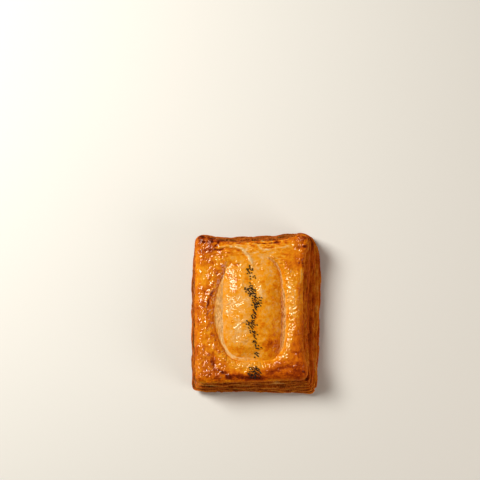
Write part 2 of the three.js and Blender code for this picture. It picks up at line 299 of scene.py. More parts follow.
@dataclass(frozen=True)
class SheetOutline:
    """Outline of a sheet of dough in plan, mapped from a unit square.

    Corners are front left, front right, back left and back right. Each side bows out between them,
    by its own amount, power and fall: a high power moves the whole side, and a high fall leaves a
    wide lobe at each corner. The corners are as square as corner_power says. The rounding and the
    bow fade towards the sheet's middle by their own powers.
    """

    corners: tuple[tuple[float, float], ...]
    bow: dict[Side, float]
    bow_power: dict[Side, float]
    bow_fall: dict[Side, float]
    corner_power: dict[Corner, float]
    corner_fade: int = 6
    bow_fade: int = 3

    def place(self, p: np.ndarray, q: np.ndarray) -> tuple[np.ndarray, np.ndarray]:
        """Maps points of the unit square onto the sheet.

        Args:
            p: Across, -1 at the left side and 1 at the right.
            q: Along, -1 at the front and 1 at the back.

        Returns:
            X and Y in millimetres.
        """
        square = self.corner_power
        back = np.where(p > 0, square[Corner.BACK_RIGHT], square[Corner.BACK_LEFT])
        front = np.where(p > 0, square[Corner.FRONT_RIGHT], square[Corner.FRONT_LEFT])
        power = np.where(q > 0, back, front)
        level = ring_level(p, q)
        spread = np.maximum(np.abs(p / level) ** power + np.abs(q / level) ** power, 1.0)
        reach = lerp(1.0, spread ** (-1.0 / power), level**self.corner_fade)
        p, q = p * reach, q * reach
        to_right, to_back = (p + 1.0) / 2.0, (q + 1.0) / 2.0
        front_left, front_right, back_left, back_right = self.corners
        plan = [lerp(lerp(front_left[axis], front_right[axis], to_right),
                     lerp(back_left[axis], back_right[axis], to_right), to_back) for axis in (0, 1)]
        bow_x = np.where(p > 0, self.bowed(Side.RIGHT, q), self.bowed(Side.LEFT, q))
        bow_y = np.where(q > 0, self.bowed(Side.BACK, p), self.bowed(Side.FRONT, p))
        return plan[0] + bow_x * p**self.bow_fade, plan[1] + bow_y * q**self.bow_fade

    def bowed(self, side: Side, place: np.ndarray) -> np.ndarray:
        """Gives how far one side bows out, at places from -1 to 1 along it."""
        return self.bow[side] * (1.0 - np.abs(place) ** self.bow_power[side]) ** self.bow_fall[side]


@dataclass(frozen=True)
class TartForm:
    """Every size that the sheets and leaves share, in millimetres.

    They are the solid's own, but for the crease and for finer leaves. The crease tapers a little
    faster at the left, narrows towards the back at the right and has a shorter lip at the front.
    Fades are shares of the dome's half sizes, from its middle.
    """

    frame_height: float = 32.0
    crease_height: dict[Side, float] = field(default_factory=lambda: {
        Side.LEFT: 28.4, Side.RIGHT: 27.6, Side.FRONT: 28.0})
    dome_height: float = 35.4
    sheet_edge_height: float = 25.4
    lowest_leaf_height: float = 4.2
    top_sheet: SheetOutline = SheetOutline(
        corners=((-48.0, -55.8), (41.8, -52.6), (-48.0, 62.4), (42.8, 63.6)),
        bow={Side.LEFT: 0.6, Side.RIGHT: -5.0, Side.FRONT: 0.2, Side.BACK: -5.6},
        bow_power={Side.LEFT: 2.0, Side.RIGHT: 5.0, Side.FRONT: 2.0, Side.BACK: 5.0},
        bow_fall={Side.LEFT: 1.0, Side.RIGHT: 3.0, Side.FRONT: 1.0, Side.BACK: 4.0},
        corner_power={Corner.FRONT_LEFT: 20.0, Corner.FRONT_RIGHT: 20.0,
                      Corner.BACK_LEFT: 20.0, Corner.BACK_RIGHT: 15.0})
    low_leaf: SheetOutline = SheetOutline(
        corners=((-51.4, -63.8), (48.4, -64.9), (-49.6, 63.2), (51.2, 67.2)),
        bow={Side.LEFT: 2.4, Side.RIGHT: 2.7, Side.FRONT: 0.2, Side.BACK: -2.6},
        bow_power={Side.LEFT: 2.0, Side.RIGHT: 4.0, Side.FRONT: 2.0, Side.BACK: 2.0},
        bow_fall={Side.LEFT: 1.0, Side.RIGHT: 1.0, Side.FRONT: 1.0, Side.BACK: 1.0},
        corner_power={Corner.FRONT_LEFT: 24.0, Corner.FRONT_RIGHT: 24.0,
                      Corner.BACK_LEFT: 20.0, Corner.BACK_RIGHT: 7.5})
    spread_power: tuple[float, float, float, float] = (0.8, 0.95, 0.8, 0.5)
    dome_middle: tuple[float, float] = (-3.2, 4.2)
    dome_half: tuple[float, float] = (23.2, 39.3)
    dome_power: float = 3.8
    dome_front_right_power: float = 5.0
    dome_front_right_reach: float = 2.2
    dome_shoulder: float = 2.2
    dome_fall: float = 0.9
    crease_left: float = 7.4
    crease_left_middle: float = -2.0
    crease_left_half: float = 38.0
    crease_left_taper: float = 1.5
    crease_left_reach: float = 0.9
    crease_right: float = 4.4
    crease_right_at_back: float = 2.2
    crease_right_narrows: Fade = Fade(-0.2, 0.6)
    crease_front: float = 3.3
    crease_front_right_share: float = 0.62
    crease_front_narrows: Fade = Fade(-0.3, 0.3)
    crease_back: float = 2.6
    crease_turns_to_end: Fade = Fade(-0.3, 0.1)
    floor_left_to_right: Fade = Fade(-0.6, 0.6)
    floor_to_front: Fade = Fade(0.6, 1.0)
    floor_to_back: Fade = Fade(0.7, 1.05)
    crease_fade_at_back: float = 0.85
    crease_lip: float = 9.0
    crease_lip_front: float = 5.4
    lip_to_front: Fade = Fade(0.45, 0.9)
    lip_start: float = 0.85
    lip_roundness: float = 2.2
    frame_swells: tuple[tuple[float, float, float, float], ...] = (
        (0.6, 17, 31, 0.0), (0.5, -40, 12, 1.2))
    edge_radius: float = 7.6
    edge_steepness: float = 0.96
    valley_depth: float = 0.9
    valley_half_width: float = 5.0
    leaf_out: tuple[float, ...] = (0.0, 0.5, -0.7, 0.6, -0.3, 0.7, 0.0)
    leaf_gap: tuple[float, ...] = (1.1, 0.8, 1.2, 0.85, 1.1, 0.95)
    leaf_gap_wave: float = 0.34
    leaf_thickness: float = 1.35
    leaf_edge_wave: float = 0.85
    leaf_height_wave: float = 0.6
    side_segments: int = 28
    end_segments: int = 23
    seed_line: tuple[tuple[float, float], ...] = (
        (-5.2, 38), (-4, 22), (-0.1, 8), (-2.6, -6), (-3, -11), (-0.9, -21), (0.6, -30), (0, -35))

    def spokes(self, finer: int) -> tuple[np.ndarray, np.ndarray]:
        """Walks once round the unit square, from the front right corner.

        Args:
            finer: How many times finer than the solid's own segments.

        Returns:
            Across and along of each spoke.
        """
        legs = (((1, -1), (1, 1), self.side_segments), ((1, 1), (-1, 1), self.end_segments),
                ((-1, 1), (-1, -1), self.side_segments), ((-1, -1), (1, -1), self.end_segments))
        points = []
        for start, end, count in legs:
            share = np.arange(count * finer)[:, None] / (count * finer)
            points.append(lerp(np.array(start, float), np.array(end, float), share))
        walk = np.concatenate(points)
        return walk[:, 0], walk[:, 1]

    def turn(self, p: np.ndarray, q: np.ndarray) -> np.ndarray:
        """Gives how far round the tart a direction lies, from 0 to a full turn, as the spokes count it."""
        side, end = self.side_segments, self.end_segments
        level = ring_level(p, q)
        across, along = p / level, q / level
        on_side = np.abs(p) >= np.abs(q)
        right = side * (along + 1) / 2
        back = side + end * (1 - across) / 2
        left = side + end + side * (1 - along) / 2
        front = 2 * side + end + end * (across + 1) / 2
        index = np.where(on_side, np.where(p > 0, right, left), np.where(q > 0, back, front))
        return index / (2 * (side + end)) * 2 * math.pi

    @staticmethod
    def wave(turn: np.ndarray, salt: float) -> np.ndarray:
        """Gives a smooth uneven wave round the tart, from about -1 to 1."""
        return (np.sin(5 * turn + 1.7 * salt) + 0.8 * np.sin(11 * turn + 2.9 * salt + 1)
                + 0.6 * np.sin(23 * turn + 4.3 * salt + 2)) / 2.4

    @staticmethod
    def outward(p: np.ndarray, q: np.ndarray) -> tuple[np.ndarray, np.ndarray]:
        """Gives the direction straight out from a side, or slantwise at a corner.

        The exact middle has no such direction: it gives a value that is not a number there.
        """
        across, along = p**9, q**9
        length = np.hypot(across, along)
        return across / length, along / length

    @staticmethod
    def on_right_side(p: np.ndarray, q: np.ndarray) -> np.ndarray:
        """Gives 1 along the right side, fading to 0 towards its corners and round them."""
        return smoothstep(0.9, 1.0, p) * (1 - smoothstep(0.75, 1.0, np.abs(q)))

    def side_line(self, p: np.ndarray, q: np.ndarray, down: float) -> tuple[np.ndarray, np.ndarray]:
        """Gives the outline part of the way down the side.

        Args:
            p: Across, on the unit square's edge.
            q: Along, on the unit square's edge.
            down: 0 at the top sheet's edge and 1 at the widest leaf.

        Returns:
            X and Y in millimetres.
        """
        top_x, top_y = self.top_sheet.place(p, q)
        low_x, low_y = self.low_leaf.place(p, q)
        left, right, front, back = (down**power for power in self.spread_power)
        return (lerp(top_x, low_x, lerp(left, right, smoothstep(-1, 1, p))),
                lerp(top_y, low_y, lerp(front, back, smoothstep(-1, 1, q))))

    def leaf_level(self, turn: np.ndarray, leaf: float) -> np.ndarray:
        """Gives the height of a leaf's edge. Leaves between the solid's own have part numbers."""
        gaps = [gap * (1 + self.leaf_gap_wave * self.wave(turn, 5.3 * index + 2))
                for index, gap in enumerate(self.leaf_gap)]
        whole = sum(gaps)
        lower = min(int(leaf), len(gaps) - 1)
        passed = sum(gaps[:lower]) + gaps[lower] * (leaf - lower)
        down = passed / whole
        height = lerp(self.sheet_edge_height, self.lowest_leaf_height, down)
        return height + (1 - down**3) * self.leaf_height_wave * self.wave(turn, 0.3)

    def leaf_reach(self, turn: np.ndarray, leaf: int) -> np.ndarray:
        """Gives how far one of the solid's leaves stands out from the side's line."""
        if leaf == 0:
            return np.zeros_like(turn)
        return self.leaf_out[leaf] + self.leaf_edge_wave * self.wave(turn, 3.1 * leaf + 1)

    def dome_place(self, x: np.ndarray, y: np.ndarray) -> tuple[np.ndarray, np.ndarray]:
        """Gives places across and along, from the dome's middle and in its half sizes."""
        return (x - self.dome_middle[0]) / self.dome_half[0], (y - self.dome_middle[1]) / self.dome_half[1]

    def dome_turn(self, x: np.ndarray, y: np.ndarray) -> np.ndarray:
        """Gives the direction from the dome's middle in radians, from its right towards its back."""
        across, along = self.dome_place(x, y)
        return np.arctan2(along, across)

    def dome_level(self, x: np.ndarray, y: np.ndarray) -> np.ndarray:
        """Gives 0 at the dome's middle and 1 on its edge."""
        across, along = self.dome_place(x, y)
        corner = self.front_right(across, along)
        power = lerp(self.dome_power, self.dome_front_right_power, corner)
        along = along / (1 + corner * self.dome_front_right_reach / self.dome_half[1])
        return (np.abs(across) ** power + np.abs(along) ** power) ** (1 / power)

    @staticmethod
    def front_right(across: np.ndarray, along: np.ndarray) -> np.ndarray:
        """Gives 1 towards the dome's front right corner and 0 away from it."""
        return smoothstep(-0.15, 0.45, across) * smoothstep(0.3, 0.8, -along)

    def beyond_dome(self, x: np.ndarray, y: np.ndarray) -> np.ndarray:
        """Gives the distance outside the dome's edge, less than 0 inside it."""
        level = np.maximum(self.dome_level(x, y), 1e-6)
        return np.hypot(x - self.dome_middle[0], y - self.dome_middle[1]) * (1 - 1 / level)

    def crease_width(self, x: np.ndarray, y: np.ndarray) -> np.ndarray:
        """Gives the crease's width in the direction of each point."""
        across, along = self.dome_place(x, y)
        from_middle = (y - self.crease_left_middle) / self.crease_left_half
        from_middle = np.clip(from_middle, -self.crease_left_reach, self.crease_left_reach)
        left = self.crease_left * (1 - from_middle**2) ** self.crease_left_taper
        right = lerp(self.crease_right, self.crease_right_at_back, self.crease_right_narrows.at(along))
        side = np.where(across > 0, right, left)
        narrower = self.crease_front_right_share * self.crease_front_narrows.at(across)
        end = np.where(along > 0, self.crease_back, self.crease_front * (1 - narrower))
        return lerp(side, end, self.crease_turns_to_end.at(np.abs(along) - np.abs(across)))

    def seed_line_x(self, y: np.ndarray) -> np.ndarray:
        """Gives the middle of the line of seeds at one place along the tart."""
        line_x, line_y = zip(*reversed(self.seed_line))
        return np.interp(y, line_y, line_x)

    def top_height(self, x: np.ndarray, y: np.ndarray) -> np.ndarray:
        """Gives the height of the frame, the crease and the dome before the sheet's edge rolls over."""
        across, along = self.dome_place(x, y)
        height = self.crease_height
        side = lerp(height[Side.LEFT], height[Side.RIGHT], self.floor_left_to_right.at(across))
        floor = lerp(side, height[Side.FRONT], self.floor_to_front.at(-along))
        floor = lerp(floor, self.frame_height, self.crease_fade_at_back * self.floor_to_back.at(along))
        crown = self.frame_height + sum(
            swell * np.sin(x / along_x + y / along_y + start)
            for swell, along_x, along_y, start in self.frame_swells)
        beyond = self.beyond_dome(x, y)
        width = self.crease_width(x, y)
        lip = lerp(self.crease_lip, self.crease_lip_front, self.lip_to_front.at(-along))
        climb = 1 - (1 - np.clip((beyond - width * self.lip_start) / lip, 0, 1)) ** self.lip_roundness
        outside = lerp(floor, crown, climb)
        level = np.minimum(self.dome_level(x, y), 1.0)
        rise = (1 - level**self.dome_shoulder) ** self.dome_fall
        valley = bell(x - self.seed_line_x(y), self.valley_half_width)
        inside = lerp(floor, self.dome_height, rise) - self.valley_depth * valley * rise
        return np.where(beyond > 0, outside, inside)

    def edge_drop(self, inside: np.ndarray) -> np.ndarray:
        """Gives how far the sheet has rolled over, at a distance inside its edge, from 0 to 1."""
        share = np.clip(1 - inside / self.edge_radius, 0, 1)
        return 1 - np.sqrt(1 - self.edge_steepness * share * share)


# ----------------------------------------------------------------------------------------------
# Modelling helpers


def deselect_all() -> None:
    """Leaves edit mode and deselects every object."""
    if bpy.context.object and bpy.context.object.mode != "OBJECT":
        bpy.ops.object.mode_set(mode="OBJECT")
    bpy.ops.object.select_all(action="DESELECT")


def take_primitive(name: str) -> bpy.types.Object:
    """Names the primitive that was just added, and its mesh."""
    piece = bpy.context.object
    piece.name = name
    piece.data.name = name
    return piece


def read_points(piece: bpy.types.Object) -> np.ndarray:
    """Reads a mesh's points, one row each."""
    points = np.empty(len(piece.data.vertices) * 3)
    piece.data.vertices.foreach_get("co", points)
    return points.reshape(-1, 3)


def write_points(piece: bpy.types.Object, points: np.ndarray) -> None:
    """Writes points in millimetres to a mesh in metres, and puts its object at the origin."""
    piece.location = (0.0, 0.0, 0.0)
    piece.data.vertices.foreach_set("co", (points * MM).ravel())
    piece.data.update()


def write_attribute(piece: bpy.types.Object, name: str, values: np.ndarray) -> None:
    """Writes one number for each point, which the finishes read."""
    layer = piece.data.attributes.new(name, "FLOAT", "POINT")
    layer.data.foreach_set("value", np.clip(values, 0.0, 1.0).astype(np.float32).ravel())


def shade_smooth(piece: bpy.types.Object) -> None:
    """Shades every face smooth."""
    piece.data.polygons.foreach_set("use_smooth", [True] * len(piece.data.polygons))
    piece.data.update()


def join_pieces(pieces: list[bpy.types.Object], name: str) -> bpy.types.Object:
    """Joins meshes into one piece.

    Args:
        pieces: Meshes to join, all at the origin.
        name: Name of the joined piece.

    Returns:
        The joined piece.
    """
    deselect_all()
    for piece in pieces:
        piece.select_set(True)
    bpy.context.view_layer.objects.active = pieces[0]
    bpy.ops.object.join()
    return take_primitive(name)


def bend_ring(name: str, points: np.ndarray, **attributes: np.ndarray) -> bpy.types.Object:
    """Bends a strip of faces round into a closed ring, such as the edge of one leaf.

    Args:
        name: Name of the piece.
        points: Millimetres, as spokes round the ring by points round its section by three.
        **attributes: One number for each point, to write to the mesh.

    Returns:
        The ring, a closed tube.
    """
    spokes, section = points.shape[:2]
    deselect_all()
    bpy.ops.mesh.primitive_grid_add(x_subdivisions=spokes, y_subdivisions=section, size=2)
    piece = take_primitive(name)
    flat = read_points(piece)
    spoke = np.rint((flat[:, 0] + 1) / 2 * spokes).astype(int) % spokes
    step = np.rint((flat[:, 1] + 1) / 2 * section).astype(int) % section
    write_points(piece, points[spoke, step])
    for attribute, values in attributes.items():
        write_attribute(piece, attribute, values[spoke, step])
    bpy.ops.object.mode_set(mode="EDIT")
    bpy.ops.mesh.select_all(action="SELECT")
    bpy.ops.mesh.remove_doubles(threshold=1e-7)
    bpy.ops.object.mode_set(mode="OBJECT")
    shade_smooth(piece)
    return piece


def extrude_rim(piece: bpy.types.Object, steps: int) -> None:
    """Extrudes a grid's border downwards, a unit for each step, and closes it underneath.

    Args:
        piece: The grid.
        steps: Rows of faces between the top and the closing face.
    """
    points = read_points(piece)
    border = np.maximum(np.abs(points[:, 0]), np.abs(points[:, 1])) > 1 - 1e-6
    edges = np.empty(len(piece.data.edges) * 2, dtype=np.int64)
    piece.data.edges.foreach_get("vertices", edges)
    on_border = border[edges.reshape(-1, 2)].all(axis=1)
    bpy.ops.object.mode_set(mode="EDIT")
    bpy.ops.mesh.select_mode(type="EDGE")
    bpy.ops.mesh.select_all(action="DESELECT")
    bpy.ops.object.mode_set(mode="OBJECT")
    piece.data.edges.foreach_set("select", on_border)
    bpy.ops.object.mode_set(mode="EDIT")
    for _ in range(steps):
        bpy.ops.mesh.extrude_edges_move(TRANSFORM_OT_translate={"value": (0, 0, -1)})
    bpy.ops.mesh.edge_face_add()
    bpy.ops.object.mode_set(mode="OBJECT")


def grid_normals(points: np.ndarray) -> np.ndarray:
    """Works out the outward direction at each point of a grid of rows and columns."""
    along_row = np.gradient(points, axis=1)
    along_column = np.gradient(points, axis=0)
    normal = np.cross(along_row, along_column)
    return normal / np.linalg.norm(normal, axis=-1, keepdims=True)


def finish_piece(piece: bpy.types.Object, material: bpy.types.Material) -> None:
    """Gives a piece its material and its place in the frame."""
    piece.data.materials.clear()
    piece.data.materials.append(material)
    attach(piece, BODY)
    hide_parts(CAD_NODE)
    LOG.info("%s: %d faces", piece.name, len(piece.data.polygons))


# ----------------------------------------------------------------------------------------------
# Finishes


def linear(colour: str) -> tuple[float, float, float, float]:
    """Turns an sRGB hex colour into the linear one that the shader takes."""
    channels = [int(colour[index:index + 2], 16) / 255 for index in (1, 3, 5)]
    return tuple(c / 12.92 if c <= 0.04045 else ((c + 0.055) / 1.055) ** 2.4 for c in channels) + (1.0,)


def add_node(tree: bpy.types.NodeTree, kind: str, inputs: dict | None = None, **settings) -> bpy.types.Node:
    """Adds one node.

    Args:
        tree: The material's node tree.
        kind: The node's type.
        inputs: Socket names or numbers, each with a value or the socket that feeds it.
        **settings: The node's own settings.

    Returns:
        The node.
    """
    node = tree.nodes.new(kind)
    for key, value in settings.items():
        setattr(node, key, value)
    for key, value in (inputs or {}).items():
        if isinstance(value, bpy.types.NodeSocket):
            tree.links.new(value, node.inputs[key])
        else:
            node.inputs[key].default_value = value
    return node


def fill_ramp(node: bpy.types.Node, stops: tuple[tuple[float, str], ...]) -> None:
    """Sets a colour ramp's stops from places and sRGB hex colours."""
    elements = node.color_ramp.elements
    while len(elements) < len(stops):
        elements.new(0.5)
    for element, (place, colour) in zip(elements, stops):
        element.position = place
        element.color = linear(colour)


@dataclass(frozen=True)
class BakedDough:
    """Baked puff pastry: milky, pale and matte where it stayed soft, brown and crisp where it rose.

    The mesh attribute "bake" says how brown each point is, and at places it also carries painted shade
    and painted light. "glaze" says how much egg wash lies on it. The third attribute says how far the
    colour is mixed towards greyish beige: floury dough where the crease stayed pressed and pale, and
    painted shade in the crease and on the leaves. Egg wash bakes to a thin, clear varnish that levels
    the dough's grain, so it breaks the light into a few large sparks.
    """

    name: str
    stops: tuple[tuple[float, str], ...]
    mottle_mm: float = 3.2
    mottle: float = 0.36
    freckle_mm: float = 1.0
    freckle: float = 0.26
    roughness_bare: float = 0.7
    roughness_glazed: float = 0.5
    coat: float = 1.0
    coat_roughness: float = 0.08
    specular: float = 0.06
    bump_mm: float = 0.16
    grain_mm: float = 1.3
    skin_bump_mm: float = 0.16
    skin_mm: float = 2.0
    scatter: float = 0.06
    streak_mm: float = 0.7
    streak_length_mm: float = 2.6
    # The greyish beige of flour and of painted shade, streaked.
    dry_stops: tuple[tuple[float, str], ...] = ((0.38, "#94622f"), (0.5, "#c4955f"), (0.62, "#f0c893"))

    def material(self) -> bpy.types.Material:
        """Builds the material."""
        material = bpy.data.materials.new(self.name)
        material.use_nodes = True
        tree = material.node_tree
        tree.nodes.clear()
        place = add_node(tree, "ShaderNodeTexCoord").outputs["Object"]
        bake = add_node(tree, "ShaderNodeAttribute", attribute_name="bake").outputs["Fac"]
        glaze = add_node(tree, "ShaderNodeAttribute", attribute_name="glaze").outputs["Fac"]
        mottle = add_node(tree, "ShaderNodeTexNoise", {
            "Vector": place, "Scale": 1 / (self.mottle_mm * MM), "Detail": 4.0, "Roughness": 0.6})
        freckle = add_node(tree, "ShaderNodeTexNoise", {
            "Vector": place, "Scale": 1 / (self.freckle_mm * MM), "Detail": 2.0, "Roughness": 0.5})
        browner = add_node(tree, "ShaderNodeMath", {
            0: mottle.outputs["Fac"], 1: self.mottle, 2: -self.mottle / 2}, operation="MULTIPLY_ADD")
        speckled = add_node(tree, "ShaderNodeMath", {
            0: freckle.outputs["Fac"], 1: self.freckle, 2: -self.freckle / 2}, operation="MULTIPLY_ADD")
        uneven = add_node(tree, "ShaderNodeMath", {0: browner.outputs[0], 1: speckled.outputs[0]},
                          operation="ADD")
        toast = add_node(tree, "ShaderNodeMath", {0: bake, 1: uneven.outputs[0]},
                         operation="ADD", use_clamp=True)
        colour = add_node(tree, "ShaderNodeValToRGB", {"Fac": toast.outputs[0]})
        fill_ramp(colour, self.stops)
        # The mix towards greyish beige: floury dough, and painted shade in the crease and on the leaves.
        dry = add_node(tree, "ShaderNodeAttribute", attribute_name="dry").outputs["Fac"]
        along = add_node(tree, "ShaderNodeMapping", {
            "Vector": place, "Scale": (1.0, self.streak_mm / self.streak_length_mm, 1.0)})
        streak = add_node(tree, "ShaderNodeTexNoise", {
            "Vector": along.outputs["Vector"], "Scale": 1 / (self.streak_mm * MM), "Detail": 3.0,
            "Roughness": 0.6})
        flour_and_shade_mix = add_node(tree, "ShaderNodeValToRGB", {"Fac": streak.outputs["Fac"]})
        fill_ramp(flour_and_shade_mix, self.dry_stops)
        floured_and_shaded = add_node(tree, "ShaderNodeMixRGB", {
            "Fac": dry, "Color1": colour.outputs["Color"], "Color2": flour_and_shade_mix.outputs["Color"]})
        sheen = add_node(tree, "ShaderNodeMapRange", {
            "Value": glaze, "To Min": self.roughness_bare, "To Max": self.roughness_glazed})
        varnish = add_node(tree, "ShaderNodeMath", {0: glaze, 1: self.coat}, operation="MULTIPLY")
        grain = add_node(tree, "ShaderNodeTexNoise", {
            "Vector": place, "Scale": 1 / (self.grain_mm * MM), "Detail": 4.0, "Roughness": 0.62})
        bump = add_node(tree, "ShaderNodeBump", {
            "Height": grain.outputs["Fac"], "Strength": 1.0, "Distance": self.bump_mm * MM})
        skin = add_node(tree, "ShaderNodeTexNoise", {
            "Vector": place, "Scale": 1 / (self.skin_mm * MM), "Detail": 3.0, "Roughness": 0.5})
        varnish_skin = add_node(tree, "ShaderNodeBump", {
            "Height": skin.outputs["Fac"], "Strength": 1.0, "Distance": self.skin_bump_mm * MM})
        shader = add_node(tree, "ShaderNodeBsdfPrincipled", {
            "Base Color": floured_and_shaded.outputs["Color"], "Roughness": sheen.outputs["Result"],
            "Normal": bump.outputs["Normal"], "IOR": 1.45, "Specular IOR Level": self.specular,
            "Coat Weight": varnish.outputs[0], "Coat Roughness": self.coat_roughness, "Coat IOR": 1.6,
            "Coat Normal": varnish_skin.outputs["Normal"],
            "Subsurface Weight": self.scatter, "Subsurface Radius": (1.0, 0.42, 0.12),
            "Subsurface Scale": 1.2 * MM})
        add_node(tree, "ShaderNodeOutputMaterial", {"Surface": shader.outputs["BSDF"]})
        return material


TOP_COLOURS = ((0.0, "#ebc78e"), (0.16, "#e0a556"), (0.34, "#e49812"), (0.5, "#d67a04"),
               (0.66, "#bc5a00"), (0.82, "#8a3200"), (1.0, "#521400"))
LEAF_COLOURS = ((0.0, "#f2bc6c"), (0.25, "#e08a1c"), (0.5, "#c45c02"), (0.75, "#943800"), (1.0, "#4c1600"))

GLAZED_CRUST = BakedDough("egg_washed_puff_pastry", TOP_COLOURS)
# The leaves' greyish-beige mix is a shaded tan, which paints shade on them.
FLAKY_LEAVES = BakedDough("flaky_pastry_leaves", LEAF_COLOURS, mottle_mm=3.0, mottle=0.5, freckle=0.3,
                          coat=0.15, roughness_bare=0.6, roughness_glazed=0.45, bump_mm=0.15, grain_mm=0.8,
                          dry_stops=((0.38, "#6a380a"), (0.5, "#a0641a"), (0.62, "#dca250")))


@dataclass(frozen=True)
class PoppySeedCoat:
    """Poppy seed: a blue-black to brown netted husk with a dull, faintly oily shine."""

    name: str = "poppy_seed_husk"
    stops: tuple[tuple[float, str], ...] = ((0.0, "#080606"), (0.5, "#14100e"), (1.0, "#34241a"))

    def material(self) -> bpy.types.Material:
        """Builds the material. The attribute "tint" differs from seed to seed."""
        material = bpy.data.materials.new(self.name)
        material.use_nodes = True
        tree = material.node_tree
        tree.nodes.clear()
        place = add_node(tree, "ShaderNodeTexCoord").outputs["Object"]
        tint = add_node(tree, "ShaderNodeAttribute", attribute_name="tint").outputs["Fac"]
        colour = add_node(tree, "ShaderNodeValToRGB", {"Fac": tint})
        fill_ramp(colour, self.stops)
        net = add_node(tree, "ShaderNodeTexVoronoi", {"Vector": place, "Scale": 1 / (0.18 * MM)},
                       feature="DISTANCE_TO_EDGE")
        bump = add_node(tree, "ShaderNodeBump", {
            "Height": net.outputs["Distance"], "Strength": 0.8, "Distance": 0.05 * MM})
        shader = add_node(tree, "ShaderNodeBsdfPrincipled", {
            "Base Color": colour.outputs["Color"], "Roughness": 0.55, "Specular IOR Level": 0.25,
            "Normal": bump.outputs["Normal"]})
        add_node(tree, "ShaderNodeOutputMaterial", {"Surface": shader.outputs["BSDF"]})
        return material


# ----------------------------------------------------------------------------------------------
# The top sheet


class Effect(Enum):
    """What a fold or a patch changes, by the name of its field."""

    LIFT = "lift"
    BAKE = "bake"
    BLISTER = "blister"


@dataclass(frozen=True)
class Stroke:
    """A fold, ridge or groove that runs along a few points of the top, in millimetres."""

    points: tuple[tuple[float, float], ...]
    half_width: float
    lift: float
    bake: float = 0.0
    blister: float = 0.0

    def strength(self, x: np.ndarray, y: np.ndarray) -> np.ndarray:
        """Gives 1 along the stroke, fading to 0 over its half width and tapering to its ends."""
        lengths = [math.dist(start, end) for start, end in zip(self.points, self.points[1:])]
        whole, passed = sum(lengths), 0.0
        nearest, place = np.full(x.shape, 1e9), np.zeros(x.shape)
        for (from_x, from_y), (to_x, to_y), length in zip(self.points, self.points[1:], lengths):
            run_x, run_y = to_x - from_x, to_y - from_y
            share = np.clip(((x - from_x) * run_x + (y - from_y) * run_y) / length**2, 0, 1)
            away = np.hypot(x - from_x - share * run_x, y - from_y - share * run_y)
            closer = away < nearest
            nearest = np.where(closer, away, nearest)
            place = np.where(closer, (passed + share * length) / whole, place)
            passed += length
        taper = np.sqrt(np.clip(4.2 * place * (1 - place), 0.0, 1.0))
        return bell(nearest, self.half_width) * taper


@dataclass(frozen=True)
class Patch:
    """A soft-edged place on the top that rose, browned or blistered more or less than the rest."""

    x: float
    y: float
    half_x: float
    half_y: float
    bake: float = 0.0
    blister: float = 0.0
    lift: float = 0.0

    def strength(self, x: np.ndarray, y: np.ndarray) -> np.ndarray:
        """Gives 1 in the middle of the patch, fading to 0 past its half widths."""
        away = ((x - self.x) / self.half_x) ** 2 + ((y - self.y) / self.half_y) ** 2
        return np.exp(-(away**1.5))


